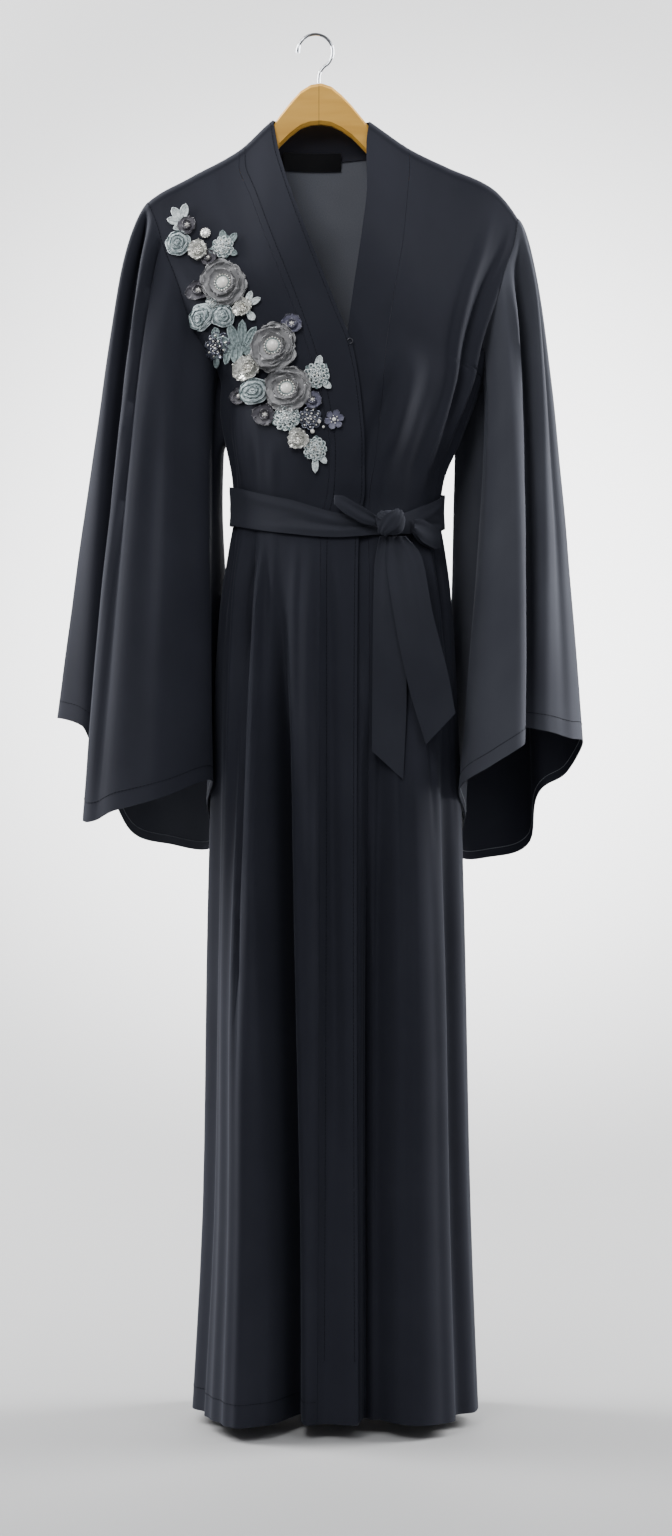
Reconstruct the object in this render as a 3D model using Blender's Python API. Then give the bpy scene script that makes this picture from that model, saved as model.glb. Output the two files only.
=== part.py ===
"""Abaya cloak tied with its own belt, hanging on a wooden hanger with a chrome hook.

Units are metres. +X is the wearer's left, -Y is the front and +Z is up.
The origin is the inner crown of the hanger's hook, where the whole thing hangs.
"""

import math

import bmesh
import bpy
from mathutils import Vector

# Cloth and seams
CLOTH = 0.0015
BELT_CLOTH = 0.0020
SEAM_GAP = 0.0003
LAP = 0.0048
LAP_FADE = 0.020

# Levels that the garment is built round
BELT_LEVEL = -0.530
HEM_LEVEL = -1.526
SHOULDER_ROLL = 0.0090
CHEST_DROP = 0.20

# Hanger and hook
WOOD_THICK = 0.0120
WOOD_SEAT = 0.0022
HOOK_WIRE = 0.0035
HOOK_CENTRE_X = -0.004
HOOK_RADIUS = 0.0195

# Body seen from above at each level: side seams, front and back depth, squareness
SECTION_COLUMNS = ("level", "right_side", "left_side", "front", "back", "square")
SECTIONS = (
    (-0.080, -0.250, 0.285, 0.050, 0.055, 2.2),
    (-0.200, -0.228, 0.262, 0.056, 0.060, 2.2),
    (-0.240, -0.205, 0.245, 0.060, 0.064, 2.2),
    (-0.290, -0.174, 0.218, 0.066, 0.068, 2.2),
    (-0.350, -0.134, 0.192, 0.074, 0.072, 2.2),
    (-0.392, -0.1045, 0.180, 0.078, 0.074, 2.2),
    (-0.450, -0.1010, 0.158, 0.079, 0.072, 2.2),
    (-0.500, -0.0955, 0.138, 0.073, 0.068, 2.2),
    (-0.530, -0.0935, 0.1345, 0.068, 0.066, 2.2),
    (-0.570, -0.0995, 0.1385, 0.074, 0.070, 2.2),
    (-0.640, -0.1100, 0.1480, 0.083, 0.079, 2.3),
    (-0.830, -0.1195, 0.1570, 0.092, 0.092, 2.4),
    (-1.000, -0.1240, 0.1620, 0.097, 0.100, 2.4),
    (-1.275, -0.1280, 0.1675, 0.102, 0.108, 2.4),
    (-1.560, -0.1420, 0.1780, 0.108, 0.115, 2.4),
)

# Top line of the garment from the front: shoulder seams, with the neck stand between them
SHOULDER_COLUMNS = ("x", "z")
SHOULDER = (
    (-0.235, -0.262),
    (-0.211, -0.215),
    (-0.190, -0.186),
    (-0.144, -0.159),
    (-0.088, -0.128),
    (-0.051, -0.0945),
    (0.003, -0.062),
    (0.056, -0.0960),
    (0.101, -0.127),
    (0.142, -0.147),
    (0.192, -0.170),
    (0.221, -0.204),
    (0.243, -0.258),
)

# Back neck seam
NECK_SEAM_COLUMNS = ("x", "z")
NECK_SEAM = (
    (-0.088, -0.128),
    (-0.045, -0.1325),
    (0.006, -0.134),
    (0.060, -0.1325),
    (0.101, -0.127),
)

# Wearer's right front, shoulder to hem: rows to the next place, band seam, band's free
# edge, and the armhole, which from the underarm down is the side seam
FRONT_COLUMNS = ("place", "rows", "seam_x", "seam_z", "free_x", "free_z", "arm_x", "arm_z")
FRONT_RIGHT = (
    ("shoulder", 4, -0.0880, -0.1280, -0.0510, -0.0945, -0.190, -0.186),
    ("neck", 2, -0.0886, -0.1483, -0.0457, -0.1253, -0.180, -0.210),
    ("collarbone", 2, -0.0753, -0.1839, -0.0365, -0.1597, -0.1705, -0.241),
    ("breast", 2, -0.0590, -0.2298, -0.0135, -0.2262, -0.158, -0.272),
    ("chest", 3, -0.0261, -0.3150, 0.0180, -0.3072, -0.142, -0.322),
    ("underarm", 3, -0.0074, -0.3718, 0.0376, -0.3581, -0.1085, -0.388),
    ("rib", 2, 0.0063, -0.4241, 0.0464, -0.4145, -0.20, -0.430),
    ("gathers", 2, 0.0122, -0.4700, 0.0503, -0.4670, -0.20, -0.475),
    ("belt top", 1, 0.0102, -0.5120, 0.0504, -0.5120, -0.20, -0.510),
    ("belt", 1, 0.0043, -0.5400, 0.0455, -0.5400, -0.20, -0.540),
    ("belt foot", 1, 0.0024, -0.5700, 0.0435, -0.5700, -0.20, -0.570),
    ("hip", 3, 0.0014, -0.6400, 0.0424, -0.6400, -0.20, -0.640),
    ("knee", 2, 0.0005, -0.9800, 0.0414, -0.9800, -0.20, -0.980),
    ("hem", 1, -0.002, HEM_LEVEL, 0.043, HEM_LEVEL, -0.20, HEM_LEVEL),
)
FRONT_LEFT = (
    ("shoulder", 4, 0.1010, -0.1270, 0.0560, -0.0960, 0.221, -0.204),
    ("neck", 2, 0.1007, -0.1484, 0.0528, -0.1251, 0.216, -0.234),
    ("collarbone", 2, 0.0974, -0.1877, 0.0532, -0.1718, 0.207, -0.258),
    ("breast", 2, 0.0931, -0.2320, 0.0476, -0.2243, 0.197, -0.288),
    ("chest", 3, 0.0818, -0.2995, 0.0367, -0.3002, 0.187, -0.332),
    ("underarm", 3, 0.0728, -0.3648, 0.0298, -0.3582, 0.1812, -0.392),
    ("rib", 2, 0.0689, -0.4235, 0.0258, -0.4145, 0.30, -0.430),
    ("gathers", 2, 0.0640, -0.4700, 0.0210, -0.4670, 0.30, -0.475),
    ("belt top", 1, 0.0572, -0.5120, 0.0141, -0.5120, 0.30, -0.510),
    ("belt", 1, 0.0553, -0.5400, 0.0121, -0.5400, 0.30, -0.540),
    ("belt foot", 1, 0.0552, -0.5700, 0.0122, -0.5700, 0.30, -0.570),
    ("hip", 3, 0.0561, -0.6400, 0.0131, -0.6400, 0.30, -0.640),
    ("knee", 2, 0.0570, -0.9800, 0.0141, -0.9800, 0.30, -0.980),
    ("hem", 1, 0.059, HEM_LEVEL, 0.014, HEM_LEVEL, 0.30, HEM_LEVEL),
)
UNDERARM_PLACE = 5
LEVEL_PASSES = 4

# Columns of cells across each panel
FRONT_RIGHT_CELLS = 19
FRONT_LEFT_CELLS = 17
BACK_CELLS = (8, 10, 8)
BAND_CELLS = 3

# Folds and gathers: turn is degrees round the body from the centre front towards the
# wearer's left, at the fold's top and at its foot. Reach is how far it spreads each way.
# Height is out of the cloth, or into it where negative.
FOLD_COLUMNS = (
    "name", "top", "full", "foot", "turn_top", "turn_foot", "reach_right", "reach_left", "height",
)
HEM_FOOT = -1.60
FOLDS = (
    ("right column", -0.56, -1.15, HEM_FOOT, -40, -37, 27, 13, 0.030),
    ("right valley", -0.55, -0.90, HEM_FOOT, -30, -19, 9, 8, -0.046),
    ("right crease", -0.56, -0.85, HEM_FOOT, -52, -47, 8, 7, -0.007),
    ("middle column", -0.60, -1.00, HEM_FOOT, -2, -4, 8, 13, -0.010),
    ("slit valley", -0.56, -1.05, HEM_FOOT, 23, 19, 9, 9, -0.030),
    ("left column", -0.56, -1.15, HEM_FOOT, 40, 37, 20, 24, 0.014),
    ("left crease", -0.56, -0.85, HEM_FOOT, 33, 26, 6, 6, -0.007),
    ("left side valley", -0.60, -1.00, HEM_FOOT, 62, 64, 12, 12, -0.012),
    ("right side valley", -0.60, -1.00, HEM_FOOT, -72, -74, 12, 11, -0.010),
    ("back right column", -0.58, -1.10, HEM_FOOT, -132, -135, 20, 20, 0.024),
    ("back right valley", -0.57, -1.00, HEM_FOOT, -155, -157, 13, 12, -0.040),
    ("back middle column", -0.60, -1.10, HEM_FOOT, -176, -178, 16, 16, 0.012),
    ("back left valley", -0.57, -1.00, HEM_FOOT, 157, 158, 12, 14, -0.036),
    ("back left column", -0.58, -1.10, HEM_FOOT, 134, 131, 20, 20, 0.022),
    ("back side valley", -0.60, -1.05, HEM_FOOT, 106, 105, 12, 12, -0.016),
    ("left front fold", -0.34, -0.45, -0.545, 27, 25, 9, 9, 0.012),
    ("left front valley", -0.36, -0.46, -0.545, 17, 14, 8, 6, -0.009),
    ("gather a", -0.42, -0.50, -0.70, -78, -70, 6, 6, -0.0060),
    ("gather b", -0.40, -0.50, -0.66, -66, -58, 6, 6, 0.0050),
    ("gather c", -0.43, -0.50, -0.78, -52, -48, 6, 6, -0.0055),
    ("gather d", -0.45, -0.50, -0.66, -38, -36, 6, 6, 0.0040),
    ("gather e", -0.40, -0.50, -0.66, 42, 47, 6, 6, -0.0060),
    ("gather f", -0.38, -0.50, -0.68, 52, 58, 6, 6, 0.0045),
    ("gather g", -0.37, -0.50, -0.74, 62, 70, 6, 6, -0.0065),
    ("gather h", -0.39, -0.50, -0.66, 74, 82, 6, 6, 0.0050),
    ("gather i", -0.42, -0.50, -0.72, 108, 112, 9, 9, -0.0060),
    ("gather j", -0.42, -0.50, -0.68, 128, 131, 8, 8, 0.0050),
    ("gather k", -0.44, -0.50, -0.76, 148, 150, 9, 9, -0.0055),
    ("gather l", -0.44, -0.50, -0.68, 170, 171, 9, 9, 0.0045),
    ("gather m", -0.44, -0.50, -0.74, -164, -163, 8, 8, -0.0055),
    ("gather n", -0.42, -0.50, -0.68, -142, -140, 9, 9, 0.0050),
    ("gather o", -0.42, -0.50, -0.74, -118, -114, 9, 9, -0.0060),
)
FOLD_FADE = 0.12
BELT_PINCH = 0.90
BELT_PINCH_HALF = 0.055
SLOPE_STEP = 0.002

# Sleeves: each row is one place round the cuff, from the underarm over the front, the
# outer edge and the back. Share is its place round the armhole, x, y and z its place on
# the cuff. Lead is how far the cloth runs straight out of the armhole first.
SLEEVE_COLUMNS = ("place", "share", "x", "y", "z", "lead")
SLEEVE_RIGHT = (
    ("inner", 0.000, -0.1245, -0.004, -0.858, 0.010),
    ("front inner", 0.060, -0.1180, -0.052, -0.829, 0.012),
    ("front", 0.150, -0.168, -0.084, -0.847, 0.018),
    ("front outer", 0.260, -0.222, -0.078, -0.862, 0.022),
    ("front edge", 0.345, -0.257, -0.046, -0.872, 0.024),
    ("valley", 0.400, -0.236, -0.008, -0.806, 0.026),
    ("outer front", 0.455, -0.262, -0.004, -0.770, 0.028),
    ("tip", 0.500, -0.293, 0.018, -0.760, 0.030),
    ("outer back", 0.560, -0.268, 0.046, -0.768, 0.030),
    ("back valley", 0.640, -0.243, 0.046, -0.830, 0.028),
    ("back outer", 0.740, -0.214, 0.072, -0.888, 0.024),
    ("back", 0.850, -0.170, 0.086, -0.903, 0.018),
    ("back inner", 0.945, -0.1200, 0.062, -0.905, 0.012),
)
SLEEVE_LEFT = (
    ("inner", 0.000, 0.1630, 0.002, -0.872, 0.010),
    ("front inner", 0.070, 0.1550, -0.052, -0.838, 0.012),
    ("front", 0.160, 0.188, -0.080, -0.813, 0.016),
    ("front ridge", 0.250, 0.222, -0.074, -0.790, 0.020),
    ("front valley", 0.310, 0.221, -0.032, -0.772, 0.022),
    ("outer front", 0.380, 0.250, -0.034, -0.775, 0.026),
    ("outer", 0.450, 0.280, -0.018, -0.783, 0.028),
    ("tip", 0.510, 0.295, 0.012, -0.788, 0.030),
    ("outer back", 0.570, 0.278, 0.040, -0.822, 0.030),
    ("back valley", 0.640, 0.250, 0.044, -0.842, 0.028),
    ("back outer", 0.730, 0.238, 0.076, -0.902, 0.024),
    ("back", 0.850, 0.192, 0.086, -0.918, 0.018),
    ("back inner", 0.945, 0.1570, 0.060, -0.914, 0.012),
)

# Long folds of the sleeves: share round the sleeve at the armhole and at the cuff, how far
# down it begins and how far down it is full, its reach and its height
SLEEVE_FOLD_COLUMNS = ("name", "share_top", "share_foot", "start", "full", "reach", "height")
SLEEVE_FOLDS_RIGHT = (
    ("column edge", 0.395, 0.335, 0.02, 0.25, 0.070, 0.0080),
    ("column valley", 0.455, 0.400, 0.02, 0.25, 0.065, -0.0120),
    ("back hollow", 0.680, 0.690, 0.10, 0.50, 0.080, -0.0060),
)
SLEEVE_FOLDS_LEFT = (
    ("column edge", 0.330, 0.250, 0.04, 0.30, 0.070, 0.0070),
    ("column valley", 0.390, 0.312, 0.04, 0.30, 0.065, -0.0100),
    ("back hollow", 0.650, 0.660, 0.10, 0.50, 0.080, -0.0060),
)
SLEEVE_FOLD_SPENT = 0.7
SLEEVE_STEPS = (0.0, 0.04, 0.10, 0.20, 0.34, 0.52, 0.70, 0.86, 1.0)
SLEEVE_PULL = 0.40
ARMHOLE_STEP = 0.017
UNDERARM_CLEAR = 0.0017
UNDERARM_SHARE = 0.32

# Belt round the waist: turn in degrees as for the folds, level of its middle, and height
BELT_COLUMNS = ("turn", "level", "height")
BELT = (
    (-180, -0.5240, 0.044),
    (-90, -0.5250, 0.043),
    (-30, -0.5400, 0.038),
    (5, -0.5509, 0.029),
    (30, -0.5489, 0.026),
    (55, -0.5429, 0.032),
    (90, -0.5310, 0.038),
    (180, -0.5240, 0.044),
)
BELT_CELLS = 44
BELT_OFF = 0.0046
KNOT_X = 0.0787
KNOT_Z = -0.5489
KNOT_WIDE = 0.034
KNOT_TALL = 0.029
KNOT_DEEP = 0.020
KNOT_SQUARE = 0.80
KNOT_CELLS = (14, 9)

# Bow loops, from the knot out to the tip: x, level of the middle, height
LOOP_COLUMNS = ("x", "level", "height")
LOOP_RIGHT = (
    (0.0587, -0.5479, 0.016),
    (0.0437, -0.5389, 0.023),
    (0.0287, -0.5309, 0.022),
    (0.0177, -0.5249, 0.012),
)
LOOP_LEFT = (
    (0.0972, -0.5509, 0.016),
    (0.1087, -0.5549, 0.028),
    (0.1237, -0.5529, 0.028),
    (0.1317, -0.5499, 0.022),
)
LOOP_BACK = 0.0036
LOOP_FRONT = 0.0105
LOOP_EASE = 1.6

# Belt tails, top to end: right and left edges
TAIL_COLUMNS = ("right_x", "right_z", "left_x", "left_z")
TAIL_BACK = (
    (0.0667, -0.5632, 0.0867, -0.5627),
    (0.0610, -0.5953, 0.0934, -0.5946),
    (0.0590, -0.6640, 0.0952, -0.6636),
    (0.0585, -0.7322, 0.0956, -0.7370),
    (0.0580, -0.7975, 0.0921, -0.8287),
)
TAIL_FRONT = (
    (0.0747, -0.5639, 0.0947, -0.5637),
    (0.0738, -0.5901, 0.1114, -0.5840),
    (0.0834, -0.6588, 0.1241, -0.6480),
    (0.0990, -0.7321, 0.1413, -0.7163),
    (0.1167, -0.7906, 0.1486, -0.7566),
)
TAILS_X = (0.056, 0.132)
TAIL_REACHES = 6
TAIL_ROWS = 9
TAIL_CELLS = 4
TAIL_BACK_OFF = 0.0036
TAIL_FRONT_OFF = 0.0072
TAIL_LEAN_BACK = 0.0010

# Neck stand: how far it leans in over its height, and how far its top dips behind
NECK_LEAN = 0.009
NECK_DIP = 0.001
NECK_ROUND = 0.62
NECK_GAP = 0.0016

# Label inside the back neck
LABEL_X = (-0.0400, 0.0245)
LABEL_Z = (-0.1265, -0.1450)
LABEL_THICK = 0.0010
LABEL_OFF = (0.0050, 0.0022)

# Applique on the wearer's right front: x, z, radius, height, petals, depth of the notches
FLOWER_COLUMNS = ("name", "x", "z", "radius", "height", "petals", "notch")
FLOWERS = (
    ("leaf_sprig", -0.1501, -0.1994, 0.0100, 0.0030, 3, 0.45),
    ("blossom_dark_top", -0.1408, -0.2179, 0.0080, 0.0045, 5, 0.20),
    ("rose_a", -0.1541, -0.2375, 0.0105, 0.0080, 8, 0.10),
    ("bead_silver", -0.1247, -0.2274, 0.0052, 0.0050, 1, 0.00),
    ("flower_silver_top", -0.1330, -0.2456, 0.0090, 0.0055, 6, 0.22),
    ("lace_blossom_top", -0.1076, -0.2425, 0.0125, 0.0045, 7, 0.22),
    ("organza_upper", -0.1052, -0.2842, 0.0215, 0.0090, 6, 0.14),
    ("blossom_small_side", -0.1382, -0.2909, 0.0095, 0.0045, 5, 0.25),
    ("lace_silver_mid", -0.0772, -0.3122, 0.0105, 0.0050, 6, 0.25),
    ("rose_b", -0.1272, -0.3178, 0.0112, 0.0085, 8, 0.10),
    ("rose_c", -0.1011, -0.3205, 0.0108, 0.0085, 8, 0.10),
    ("leaf_cluster", -0.0841, -0.3430, 0.0140, 0.0040, 5, 0.35),
    ("sequin_dark_side", -0.1112, -0.3451, 0.0105, 0.0045, 6, 0.25),
    ("organza_middle", -0.0456, -0.3557, 0.0215, 0.0090, 6, 0.14),
    ("blossom_small_top", -0.0359, -0.3242, 0.0080, 0.0045, 5, 0.25),
    ("sequin_silver_side", -0.0773, -0.3718, 0.0120, 0.0055, 7, 0.20),
    ("rose_d", -0.0685, -0.3967, 0.0120, 0.0085, 8, 0.10),
    ("organza_lower", -0.0363, -0.3995, 0.0212, 0.0090, 6, 0.14),
    ("lace_cluster_edge", -0.0025, -0.3876, 0.0125, 0.0050, 7, 0.22),
    ("beads_purple", -0.0054, -0.4106, 0.0095, 0.0045, 5, 0.20),
    ("blossom_small_edge", 0.0166, -0.4363, 0.0098, 0.0045, 5, 0.28),
    ("organza_dark_low", -0.0610, -0.4248, 0.0110, 0.0050, 5, 0.18),
    ("lace_cluster_low", -0.0358, -0.4339, 0.0125, 0.0050, 7, 0.22),
    ("sequins_purple_low", -0.0093, -0.4311, 0.0105, 0.0045, 6, 0.22),
    ("petals_silver_low", -0.0230, -0.4544, 0.0100, 0.0045, 5, 0.30),
    ("tip_cluster", -0.0035, -0.4645, 0.0120, 0.0045, 6, 0.30),
)
FLOWER_OFF = 0.00085
FLOWER_SECTORS = 10
FLOWER_LARGE = 0.018
FLOWER_LARGE_SECTORS = 18
FLOWER_EDGE = 0.0010
FLOWER_RINGS = (1.0, 0.5)
FLOWER_LARGE_RINGS = (1.0, 0.62, 0.28)
FLOWER_DOME = 0.6
FLOWER_DIP = 0.25

# Bare middle of the hanger and the depth of its arms
WOOD_COLUMNS = ("x", "top")
WOOD_MIDDLE = (
    (-0.0560, -0.1072),
    (-0.0490, -0.0998),
    (-0.0430, -0.0885),
    (-0.029, -0.0715),
    (-0.014, -0.0570),
    (0.000, -0.0530),
    (0.014, -0.0570),
    (0.029, -0.0700),
    (0.0450, -0.0880),
    (0.0540, -0.1000),
    (0.0600, -0.1068),
)
WOOD_SEAT_COLUMNS = ("x", "below")
WOOD_SEATS = (
    (-0.120, WOOD_SEAT),
    (-0.085, 0.0075),
    (-0.056, 0.0080),
    (0.060, 0.0080),
    (0.095, 0.0075),
    (0.130, WOOD_SEAT),
)
WOOD_DEPTH_COLUMNS = ("x", "depth")
WOOD_DEPTHS = (
    (-0.188, 0.018),
    (-0.100, 0.028),
    (-0.046, 0.034),
    (0.000, 0.046),
    (0.046, 0.034),
    (0.100, 0.028),
    (0.200, 0.018),
)
WOOD_ENDS = (-0.181, 0.186)
WOOD_SECTIONS = 32
WOOD_EDGE = 0.0038

# Hook: turns of its tip and of the end of its round, then the stem's points
HOOK_BENDS = 18
HOOK_TIP_TURN = 184.0
HOOK_END_TURN = -62.0
HOOK_TIP_SWELL = 1.35
HOOK_STEM = ((0.0015, -0.0400), (0.0003, -0.0440), (0.0000, -0.0480), (0.0000, -0.0526))

# Hook and eye where the bands cross
HOOK_EYE_X = 0.0342
HOOK_EYE_Z = -0.3505
HOOK_EYE_RADIUS = 0.0028
HOOK_EYE_WIRE = 0.0010
HOOK_EYE_OFF = 0.0016
HOOK_EYE_BENDS = 10
HOOK_EYE_TURNS = (-110.0, 160.0)

# Base colour, roughness and metallic value of each kind of piece
FINISHES = {
    "cloth": ((0.030, 0.035, 0.050), 0.72, 0.0),
    "label": ((0.006, 0.006, 0.007), 0.60, 0.0),
    "rose": ((0.30, 0.37, 0.40), 0.80, 0.0),
    "lace": ((0.34, 0.40, 0.42), 0.80, 0.0),
    "leaf": ((0.36, 0.42, 0.44), 0.80, 0.0),
    "organza": ((0.16, 0.16, 0.17), 0.60, 0.0),
    "blossom": ((0.10, 0.10, 0.16), 0.60, 0.0),
    "sequin": ((0.20, 0.20, 0.26), 0.35, 0.2),
    "purple": ((0.09, 0.08, 0.16), 0.50, 0.0),
    "silver": ((0.60, 0.60, 0.57), 0.30, 0.6),
    "tip_cluster": ((0.36, 0.42, 0.44), 0.80, 0.0),
    "hanger_wood": ((0.60, 0.33, 0.12), 0.42, 0.0),
    "hanger_hook": ((0.72, 0.73, 0.75), 0.16, 1.0),
    "hook_eye": ((0.10, 0.10, 0.11), 0.35, 0.9),
}


def flowing(stations, position):
    """Value at a position on a smooth curve through (position, value) stations."""
    if position <= stations[0][0]:
        return stations[0][1]
    if position >= stations[-1][0]:
        return stations[-1][1]
    spans = []
    slopes = []
    for (p0, v0), (p1, v1) in zip(stations, stations[1:]):
        spans.append(p1 - p0)
        slopes.append((v1 - v0) / (p1 - p0))
    i = 0
    while position > stations[i + 1][0]:
        i += 1

    def tangent(k):
        if k == 0:
            return slopes[0]
        if k == len(slopes):
            return slopes[-1]
        before = slopes[k - 1]
        after = slopes[k]
        if before * after <= 0.0:
            return 0.0
        w1 = 2.0 * spans[k] + spans[k - 1]
        w2 = spans[k] + 2.0 * spans[k - 1]
        return (w1 + w2) / (w1 / before + w2 / after)

    h = spans[i]
    t = (position - stations[i][0]) / h
    start = stations[i][1]
    end = stations[i + 1][1]
    return (
        start * (2 * t ** 3 - 3 * t ** 2 + 1)
        + tangent(i) * h * (t ** 3 - 2 * t ** 2 + t)
        + end * (3 * t ** 2 - 2 * t ** 3)
        + tangent(i + 1) * h * (t ** 3 - t ** 2)
    )


def column(table, names, key, value):
    """Two named columns of a table as stations in rising order of the key."""
    k = names.index(key)
    v = names.index(value)
    return sorted((row[k], row[v]) for row in table)


def smooth(t):
    """Ease from 0 to 1."""
    t = min(1.0, max(0.0, t))
    return t * t * (3.0 - 2.0 * t)


def mix(a, b, t):
    return a + (b - a) * t


SECTION_AT = {
    name: column(SECTIONS, SECTION_COLUMNS, "level", name) for name in SECTION_COLUMNS[1:]
}
SHOULDER_AT = column(SHOULDER, SHOULDER_COLUMNS, "x", "z")
NECK_SEAM_AT = column(NECK_SEAM, NECK_SEAM_COLUMNS, "x", "z")
BELT_LEVEL_AT = column(BELT, BELT_COLUMNS, "turn", "level")
BELT_HEIGHT_AT = column(BELT, BELT_COLUMNS, "turn", "height")
UPPER_EDGE_AT = column(FRONT_RIGHT, FRONT_COLUMNS, "free_z", "free_x")


def shoulder_height(x):
    return flowing(SHOULDER_AT, x)


def back_top(x):
    """Top edge of the back panel: shoulder seams with the neck seam between them."""
    if NECK_SEAM[0][0] < x < NECK_SEAM[-1][0]:
        return flowing(NECK_SEAM_AT, x)
    return shoulder_height(x)


def section(z):
    """Middle, half width, front depth, back depth and squareness of the body at a level."""
    right = flowing(SECTION_AT["right_side"], z)
    left = flowing(SECTION_AT["left_side"], z)
    return (
        (left + right) / 2.0,
        (left - right) / 2.0,
        flowing(SECTION_AT["front"], z),
        flowing(SECTION_AT["back"], z),
        flowing(SECTION_AT["square"], z),
    )


def turn_at(x, z):
    """Degrees round the front of the body at which the cloth is at x."""
    middle, half, _, _, _ = section(z)
    share = min(1.0, max(-1.0, (x - middle) / half))
    return math.degrees(math.asin(share))


def fold_height(turn, z):
    """How far the folds move the cloth outwards here."""
    total = 0.0
    for _, top, full, foot, turn_top, turn_foot, reach_right, reach_left, height in FOLDS:
        if z >= top or z <= foot:
            continue
        rise = smooth((top - z) / (top - full))
        fall = smooth((z - foot) / FOLD_FADE) if foot > HEM_FOOT else 1.0
        centre = mix(turn_top, turn_foot, min(1.0, (top - z) / (top - max(foot, HEM_LEVEL))))
        away = (turn - centre + 180.0) % 360.0 - 180.0
        reach = reach_right if away < 0.0 else reach_left
        share = abs(away) / reach
        if share < 1.0:
            total += height * rise * fall * (0.5 + 0.5 * math.cos(math.pi * share))
    pinch = 1.0 - BELT_PINCH * math.exp(-((z - BELT_LEVEL) / BELT_PINCH_HALF) ** 2)
    return total * pinch


def body_point(turn, z, out=0.0, folds=True):
    """A point of the body's cloth, turn degrees round it at level z, moved outwards."""
    middle, half, front, back, square = section(z)
    angle = math.radians(turn)
    side = math.sin(angle)
    ahead = math.cos(angle)
    depth = front if ahead >= 0.0 else back
    x = middle + half * side
    deep = depth * max(0.0, 1.0 - abs(side) ** square) ** (1.0 / square)
    drop = max(0.0, shoulder_height(x) - z)
    if drop < SHOULDER_ROLL:
        lie = SHOULDER_ROLL * math.sqrt(1.0 - (1.0 - drop / SHOULDER_ROLL) ** 2)
    else:
        share = min(1.0, (drop - SHOULDER_ROLL) / CHEST_DROP)
        lie = mix(SHOULDER_ROLL, deep, math.sin(math.pi / 2.0 * share))
    y = -lie if ahead >= 0.0 else lie
    outwards = Vector((depth * side, -half * ahead, 0.0)).normalized()
    if folds:
        out = out + fold_height(turn, z)
    return Vector((x, y, z)) + outwards * out


def front_point(x, z, out=0.0):
    """The upper front's cloth straight ahead of x, moved out along its own slope."""
    here = body_point(turn_at(x, z), z)
    beside = body_point(turn_at(x + SLOPE_STEP, z), z)
    above = body_point(turn_at(x, z + SLOPE_STEP), z + SLOPE_STEP)
    slope = (beside - here).cross(above - here).normalized()
    if slope.y > 0.0:
        slope = -slope
    return here + slope * out


def edge_path(table, x_name, z_name):
    """Rows along a front's table, as (x, z) at each row of cells."""
    xs = [(i, row[FRONT_COLUMNS.index(x_name)]) for i, row in enumerate(table)]
    zs = [(i, row[FRONT_COLUMNS.index(z_name)]) for i, row in enumerate(table)]
    path = []
    for i, row in enumerate(table[:-1]):
        count = row[FRONT_COLUMNS.index("rows")]
        for k in range(count):
            at = i + first_rows_closer(k / count) if i == 0 else i + k / count
            path.append((flowing(xs, at), flowing(zs, at)))
    path.append((xs[-1][1], zs[-1][1]))
    return path


def first_rows_closer(t):
    """Rows that roll over the shoulder lie closer together at the top."""
    return t * t


def rows_before(place):
    """How many rows of cells a front has above one of its places."""
    return sum(row[FRONT_COLUMNS.index("rows")] for row in FRONT_RIGHT[:place])


UNDERARM_ROW = rows_before(UNDERARM_PLACE)


def pull_edge(grid, row_edges=(), column_edges=(), gap=SEAM_GAP):
    """Shorten a grid of points by half a seam gap at the named edges, 0 or -1."""
    for edge in row_edges:
        inner = 1 if edge == 0 else -2
        for j, point in enumerate(grid[edge]):
            along = grid[inner][j] - point
            grid[edge][j] = point + along.normalized() * gap / 2.0
    for edge in column_edges:
        inner = 1 if edge == 0 else -2
        for row in grid:
            along = row[inner] - row[edge]
            row[edge] = row[edge] + along.normalized() * gap / 2.0


def lap_inset(x, z):
    """How far the under front lies behind the upper one."""
    past = x - flowing(UPPER_EDGE_AT, z)
    return -LAP * (1.0 - smooth(past / LAP_FADE))


def hung_level(row, turn, level, drop, top):
    """Level of a row: it follows the shoulder line above, and lies level from the underarm."""
    hold = 1.0 - smooth(row / UNDERARM_ROW)
    z = level
    for _ in range(LEVEL_PASSES):
        z = mix(level, top(body_point(turn, z).x) - drop, hold)
    return z


def front_grid(table, cells, under):
    """Grid of a front panel from the band seam to the armhole and side seam."""
    seam = edge_path(table, "seam_x", "seam_z")
    arm = edge_path(table, "arm_x", "arm_z")
    grid = []
    for i, ((seam_x, seam_z), (arm_x, arm_z)) in enumerate(zip(seam, arm)):
        seam_turn = turn_at(seam_x, seam_z)
        arm_turn = turn_at(arm_x, arm_z)
        drops = (shoulder_height(seam_x) - seam_z, shoulder_height(arm_x) - arm_z)
        row = []
        for j in range(cells + 1):
            u = j / cells
            turn = mix(seam_turn, arm_turn, u)
            z = hung_level(i, turn, mix(seam_z, arm_z, u), mix(*drops, u), shoulder_height)
            point = body_point(turn, z)
            if i == 0:
                point = Vector((point.x, 0.0, shoulder_height(point.x)))
            elif under:
                point = body_point(turn, z, lap_inset(point.x, z))
            row.append(point)
        grid.append(row)
    return grid


def band_grid(table, under, cells=BAND_CELLS):
    """Grid of a front band from its free edge to its seam."""
    seam = edge_path(table, "seam_x", "seam_z")
    free = edge_path(table, "free_x", "free_z")
    grid = []
    for i, ((seam_x, seam_z), (free_x, free_z)) in enumerate(zip(seam, free)):
        free_turn = turn_at(free_x, free_z)
        seam_turn = turn_at(seam_x, seam_z)
        row = []
        for j in range(cells + 1):
            turn = mix(free_turn, seam_turn, j / cells)
            z = mix(free_z, seam_z, j / cells)
            point = body_point(turn, z)
            if i == 0:
                point = Vector((point.x, 0.0, shoulder_height(point.x)))
            elif under:
                point = body_point(turn, z, lap_inset(point.x, z))
            row.append(point)
        grid.append(row)
    return grid


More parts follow.
